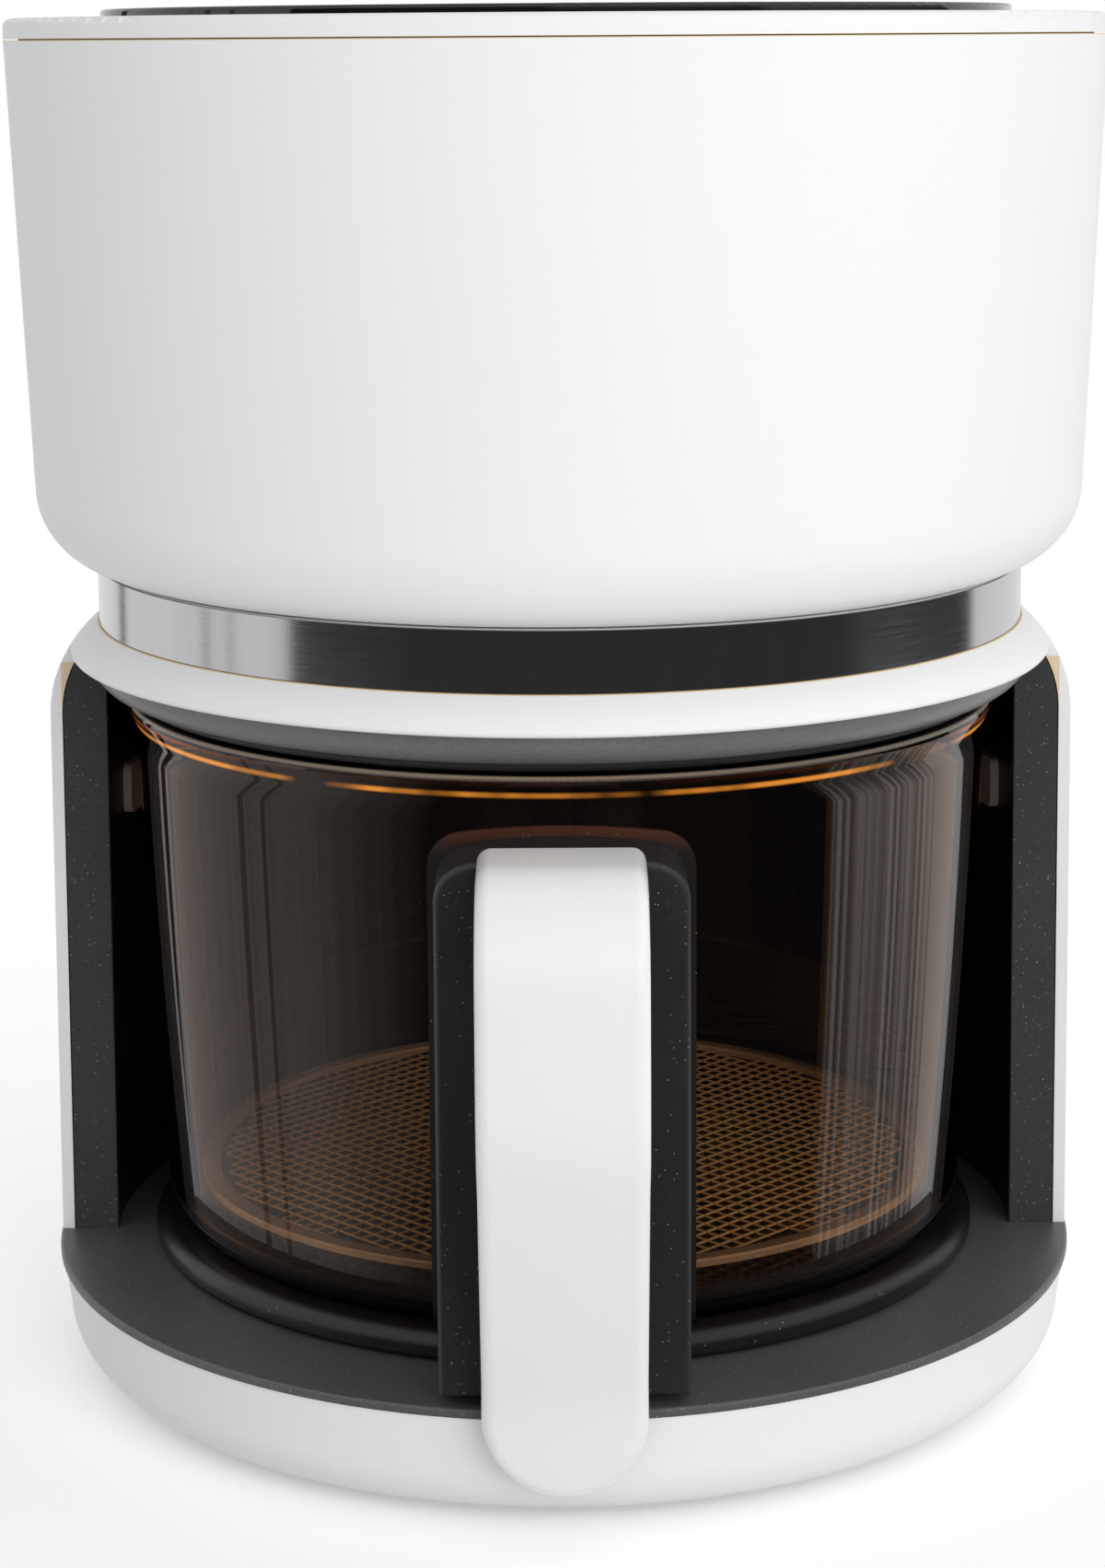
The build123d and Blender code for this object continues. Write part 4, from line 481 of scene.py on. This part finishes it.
# %% [markdown]
# The jar is blown glass 4.5 mm thick with a heavier floor, a slightly bellied wall and a rim that
# flares and is fire-polished round. Clear glass shows every facet, so the CAD jar is replaced by a
# finely turned one on the same profile, with the same two holes for the handle's screws.

# %% Glass jar
GLASS_T, GLASS_FLOOR_T = 0.0045, 0.005
GLASS_Z, GLASS_TOP = 0.0355, 0.1718
LOW_R, MID_R, NECK_R, RIM_R = 0.1025, 0.1060, 0.1082, 0.1104
CORNER_R, RIM_H = 0.012, 0.007


def belly(z, inset):
    """Radius of the jar's wall at a height, on a parabola through its three set radii."""
    low_z, high_z = GLASS_Z + CORNER_R, GLASS_TOP - RIM_H
    t = (z - low_z) / (high_z - low_z)
    chord = LOW_R + (NECK_R - LOW_R) * t
    return chord + 4 * t * (1 - t) * (MID_R - (LOW_R + NECK_R) / 2) - inset


def jar_side(inset, floor_z, up):
    """Profile of the jar's outside or inside between its floor and the start of its rim."""
    low_z, high_z = GLASS_Z + CORNER_R, GLASS_TOP - RIM_H
    corner = arc((LOW_R - CORNER_R, low_z), CORNER_R - inset, -90, 0, 10)
    shift = floor_z - (low_z - (CORNER_R - inset))
    corner = [(r, z + shift * (1 - i / 10)) for i, (r, z) in enumerate(corner)]
    wall = [(belly(low_z + (high_z - low_z) * i / 24, inset), low_z + (high_z - low_z) * i / 24)
            for i in range(1, 25)]
    side = corner + wall
    return side if up else side[::-1]


bead = arc((RIM_R - GLASS_T / 2, GLASS_TOP - GLASS_T / 2), GLASS_T / 2, 0, 180, 12)
profile = [(0.0, GLASS_Z), (0.05, GLASS_Z)] + jar_side(0.0, GLASS_Z, True) + bead
profile += jar_side(GLASS_T, GLASS_Z + GLASS_FLOOR_T, False)
profile += [(0.05, GLASS_Z + GLASS_FLOOR_T), (0.0, GLASS_Z + GLASS_FLOOR_T)]
clear_jar = turned("clear_jar", profile, 192)

SCREW_HEIGHTS, SCREW_HOLE_R, WALL_Y = (0.062, 0.132), 0.0044, -0.106
for height in SCREW_HEIGHTS:
    bpy.ops.object.select_all(action="DESELECT")
    bpy.ops.mesh.primitive_cylinder_add(
        vertices=32, radius=SCREW_HOLE_R, depth=0.03, location=(0, WALL_Y, height),
        rotation=(math.pi / 2, 0, 0),
    )
    drill = bpy.context.active_object
    cut = clear_jar.modifiers.new("screw_hole", "BOOLEAN")
    cut.object, cut.operation, cut.solver = drill, "DIFFERENCE", "EXACT"
    apply_modifiers(clear_jar)
    bpy.data.objects.remove(drill)
bpy.ops.object.shade_smooth_by_angle(angle=math.radians(40))
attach(clear_jar, "jar")
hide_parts("glass_jar")
print("jar", len(clear_jar.data.polygons), "faces")

# %% [markdown]
# The rack's net is woven from wire 0.7 mm thick on a pitch of 4 mm. The CAD model
# holds it as a coarse holed sheet. Here a grid turned by 45 degrees is trimmed to a disc, and a
# Wireframe modifier gives every edge its thickness. Edges are deselected in edit mode before the
# outer points are picked in code, or deleting those points would take the whole grid with them.

# %% Rack net
NET_PITCH, NET_WIRE = 0.004, 0.0007
net_low, net_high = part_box("rack_mesh")
net_r = net_high.x
across = math.ceil(net_r * math.sqrt(2) * 2 / NET_PITCH / 2) * 2
bpy.ops.object.select_all(action="DESELECT")
bpy.ops.mesh.primitive_grid_add(
    x_subdivisions=across, y_subdivisions=across, size=across * NET_PITCH,
    location=(0, 0, (net_low.z + net_high.z) / 2), rotation=(0, 0, math.pi / 4),
)
net = bpy.context.active_object
net.name = "rack_net"
bpy.ops.object.transform_apply(location=True, rotation=True)
edit(net)
bpy.ops.mesh.select_all(action="DESELECT")
bpy.ops.object.mode_set(mode="OBJECT")
for vertex in net.data.vertices:
    vertex.select = vertex.co.xy.length > net_r - NET_WIRE
bpy.ops.object.mode_set(mode="EDIT")
bpy.ops.mesh.delete(type="VERT")
bpy.ops.object.mode_set(mode="OBJECT")
wires = net.modifiers.new("wires", "WIREFRAME")
wires.thickness = NET_WIRE
wires.use_boundary = True
apply_modifiers(net)
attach(net, "rack")
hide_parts("rack_mesh")
print("net", len(net.data.polygons), "faces, pitch", NET_PITCH)

# %% [markdown]
# Each CAD node gets its finish here.

# %% Dress the CAD nodes
dress("white_shell", "base_shell", "head_shell", "top_cover")
dress("white_frame", "main_frame")
dress("white_gloss", "handle_cover")
dress("charcoal", "column_liner")
dress("tray_charcoal", "base_tray")
dress("skirt_grey", "chamber_skirt")
dress("bracket_black", "handle_bracket", "handle_grip")
dress("black_satin", "jar_foot")
dress("pad_painted_brown_light", "bracket_pad")
dress("black_matte", "rear_grille", "cord_inlet", "interlock_switch", "cooling_fan", "base_plate")
dress("panel_glass", "control_panel")
dress("brushed_steel", "trim_band")
dress("sheet_steel", "heater_guard", "heat_shield", "exhaust_duct", "motor_bracket")
dress("sheet_steel", "element_clips", "clamp_plate", "motor")
dress("bright_steel", "motor_shaft", "fan_nut", "handle_screws", "base_screws")
dress("bright_steel", "temperature_sensor")
dress("rim_wire", "rack_rim")
dress("rack_wire", net)
dress("aluminium", "heat_chamber", "convection_fan")
dress("element_sheath", "heating_element")
dress("bush_bronze", "motor_bushes")
dress("rubber", "rubber_feet")
dress("silicone", "jar_bumpers", "screw_sleeves")
dress("dark_silicone", "rack_feet", "chamber_seal")
dress("board_green", "control_board", "power_board")
dress("pale_plastic", "thermal_fuse", "interlock_plunger")
dress("wire_sleeve", "wiring_harness")
dress("smoked_glass", clear_jar)
print("dressed", sum(1 for n in nodes.values() if n.data.materials))

# %% [markdown]
# The studio's floor is pale paper that fades into the white surroundings and keeps the object's
# shadow. It is hidden from light that meets the glass, or the jar's back wall would mirror it.

# %% Floor
bpy.ops.object.select_all(action="DESELECT")
bpy.ops.mesh.primitive_circle_add(vertices=96, radius=2.5, fill_type="NGON", location=(0, 0, 0))
floor = bpy.context.active_object
floor.name = "floor"
floor.visible_glossy = floor.visible_transmission = False
floor_material = bpy.data.materials.new("floor")
floor_material.use_nodes = True
graph = Graph(floor_material.node_tree)
at, x, y, z = graph.place()
reach = (x * x + y * y) ** 0.5
FADE_START, FADE_END, LIFT = 0.18, 0.5, 0.3
paper = graph.node("BsdfDiffuse", {}, {"Color": (0.9, 0.9, 0.9)})
white = graph.node("Emission", {}, {"Color": (1, 1, 1), "Strength": 1.0})
fade = reach.ramp(FADE_START, FADE_END)
seen = graph.node("LightPath", {}, {}, "Is Camera Ray")
lifted = graph.node("Emission", {}, {"Color": (1, 1, 1), "Strength": seen * LIFT})
paper = graph.node("AddShader", {}, {0: paper, 1: lifted})
both = graph.node("MixShader", {}, {0: fade * seen, 1: paper, 2: white})
graph.node("OutputMaterial", {}, {"Surface": both})
floor.data.materials.append(floor_material)
print("floor fades from", FADE_START, "to", FADE_END, "m")

# %% [markdown]
# The world does three jobs. The camera sees it white, soft light comes from it a little stronger
# from the right, and whatever is mirrored sees a dark room: a streaked window with two bars on the
# left, panes on the right, bright walls behind the object and a bright ceiling. Directions are
# turns in degrees from the front, and positive turns are to the right.

# %% World
world = bpy.data.worlds.new("studio")
scene.world = world
world.use_nodes = True
graph = Graph(world.node_tree)
direction = graph.node("TexCoord", {}, {}, "Generated")
dx, dy, dz = [graph.node("SeparateXYZ", {}, {0: direction}, axis) for axis in range(3)]
turn = graph.node("Math", {"operation": "ARCTAN2"}, {0: dx, 1: -dy}) * (180.0 / math.pi)
streaks = graph.noise(graph.node("CombineXYZ", {}, {0: turn * 0.35}), 1.0, 5.0, 0.7).ramp(0.3, 0.7)
LEFT_START, LEFT_END, VEIL_START, VEIL_END = -68.0, -134.0, -66.0, -36.0
PANES_START, BACK_RIGHT, BACK_LEFT = 77.0, 120.0, -138.0
LOW_DZ = -0.23
bars = (turn + 94.9).absolute().below(1.2) + (turn + 86.4).absolute().below(0.8)
low = dz.below(LOW_DZ)
left = turn.below(LEFT_START) * turn.above(LEFT_END)
veil = low * turn.ramp(VEIL_START, VEIL_END, 0.5, 0.0) * turn.above(LEFT_START)
panes = low * turn.above(PANES_START) * turn.below(BACK_RIGHT)
panes = panes * (streaks + dz).ramp(0.0, 0.4, 0.2, 1.2)
back = turn.below(BACK_LEFT) + turn.above(BACK_RIGHT)
window = left * (0.6 - low * 0.24 + streaks * (0.5 - low * 0.25)) * (1.0 - bars * 0.7)
room = 0.02 + streaks * 0.03 + window + veil * (0.5 + streaks * 0.5) + panes + back * 0.85
high = dz.ramp(0.12, 0.3)
room = room * (1.0 - high) + high * 0.8
glossy = graph.node("LightPath", {}, {}, "Is Glossy Ray")
seen = graph.node("LightPath", {}, {}, "Is Camera Ray")
level = glossy * room + (1.0 - glossy) * (0.72 + dx * 0.19)
level = seen + (1.0 - seen) * level
light = graph.node("Background", {}, {"Color": (1, 1, 1), "Strength": level})
graph.node("OutputWorld", {}, {"Surface": light})

print("world ready")

# %% [markdown]
# One large soft lamp from the front right rounds off the white shells. It is hidden from mirrored
# light, because its square picture in the glass isn't in the photograph.

# %% Lamp
KEY_PLACE, KEY_AIM, KEY_SIZE, KEY_WATTS = (0.85, -1.65, 0.7), (0, 0, 0.2), 1.2, 12.0
key_data = bpy.data.lights.new("key", "AREA")
key_data.shape = "RECTANGLE"
key_data.size = key_data.size_y = KEY_SIZE
key_data.energy = KEY_WATTS
key = bpy.data.objects.new("key", key_data)
scene.collection.objects.link(key)
key.location = KEY_PLACE
toward = Vector(KEY_AIM) - Vector(KEY_PLACE)
key.rotation_euler = toward.to_track_quat("-Z", "Y").to_euler()
key.visible_camera = key.visible_glossy = key.visible_transmission = False
print("key lamp", round(toward.length, 2), "m away")
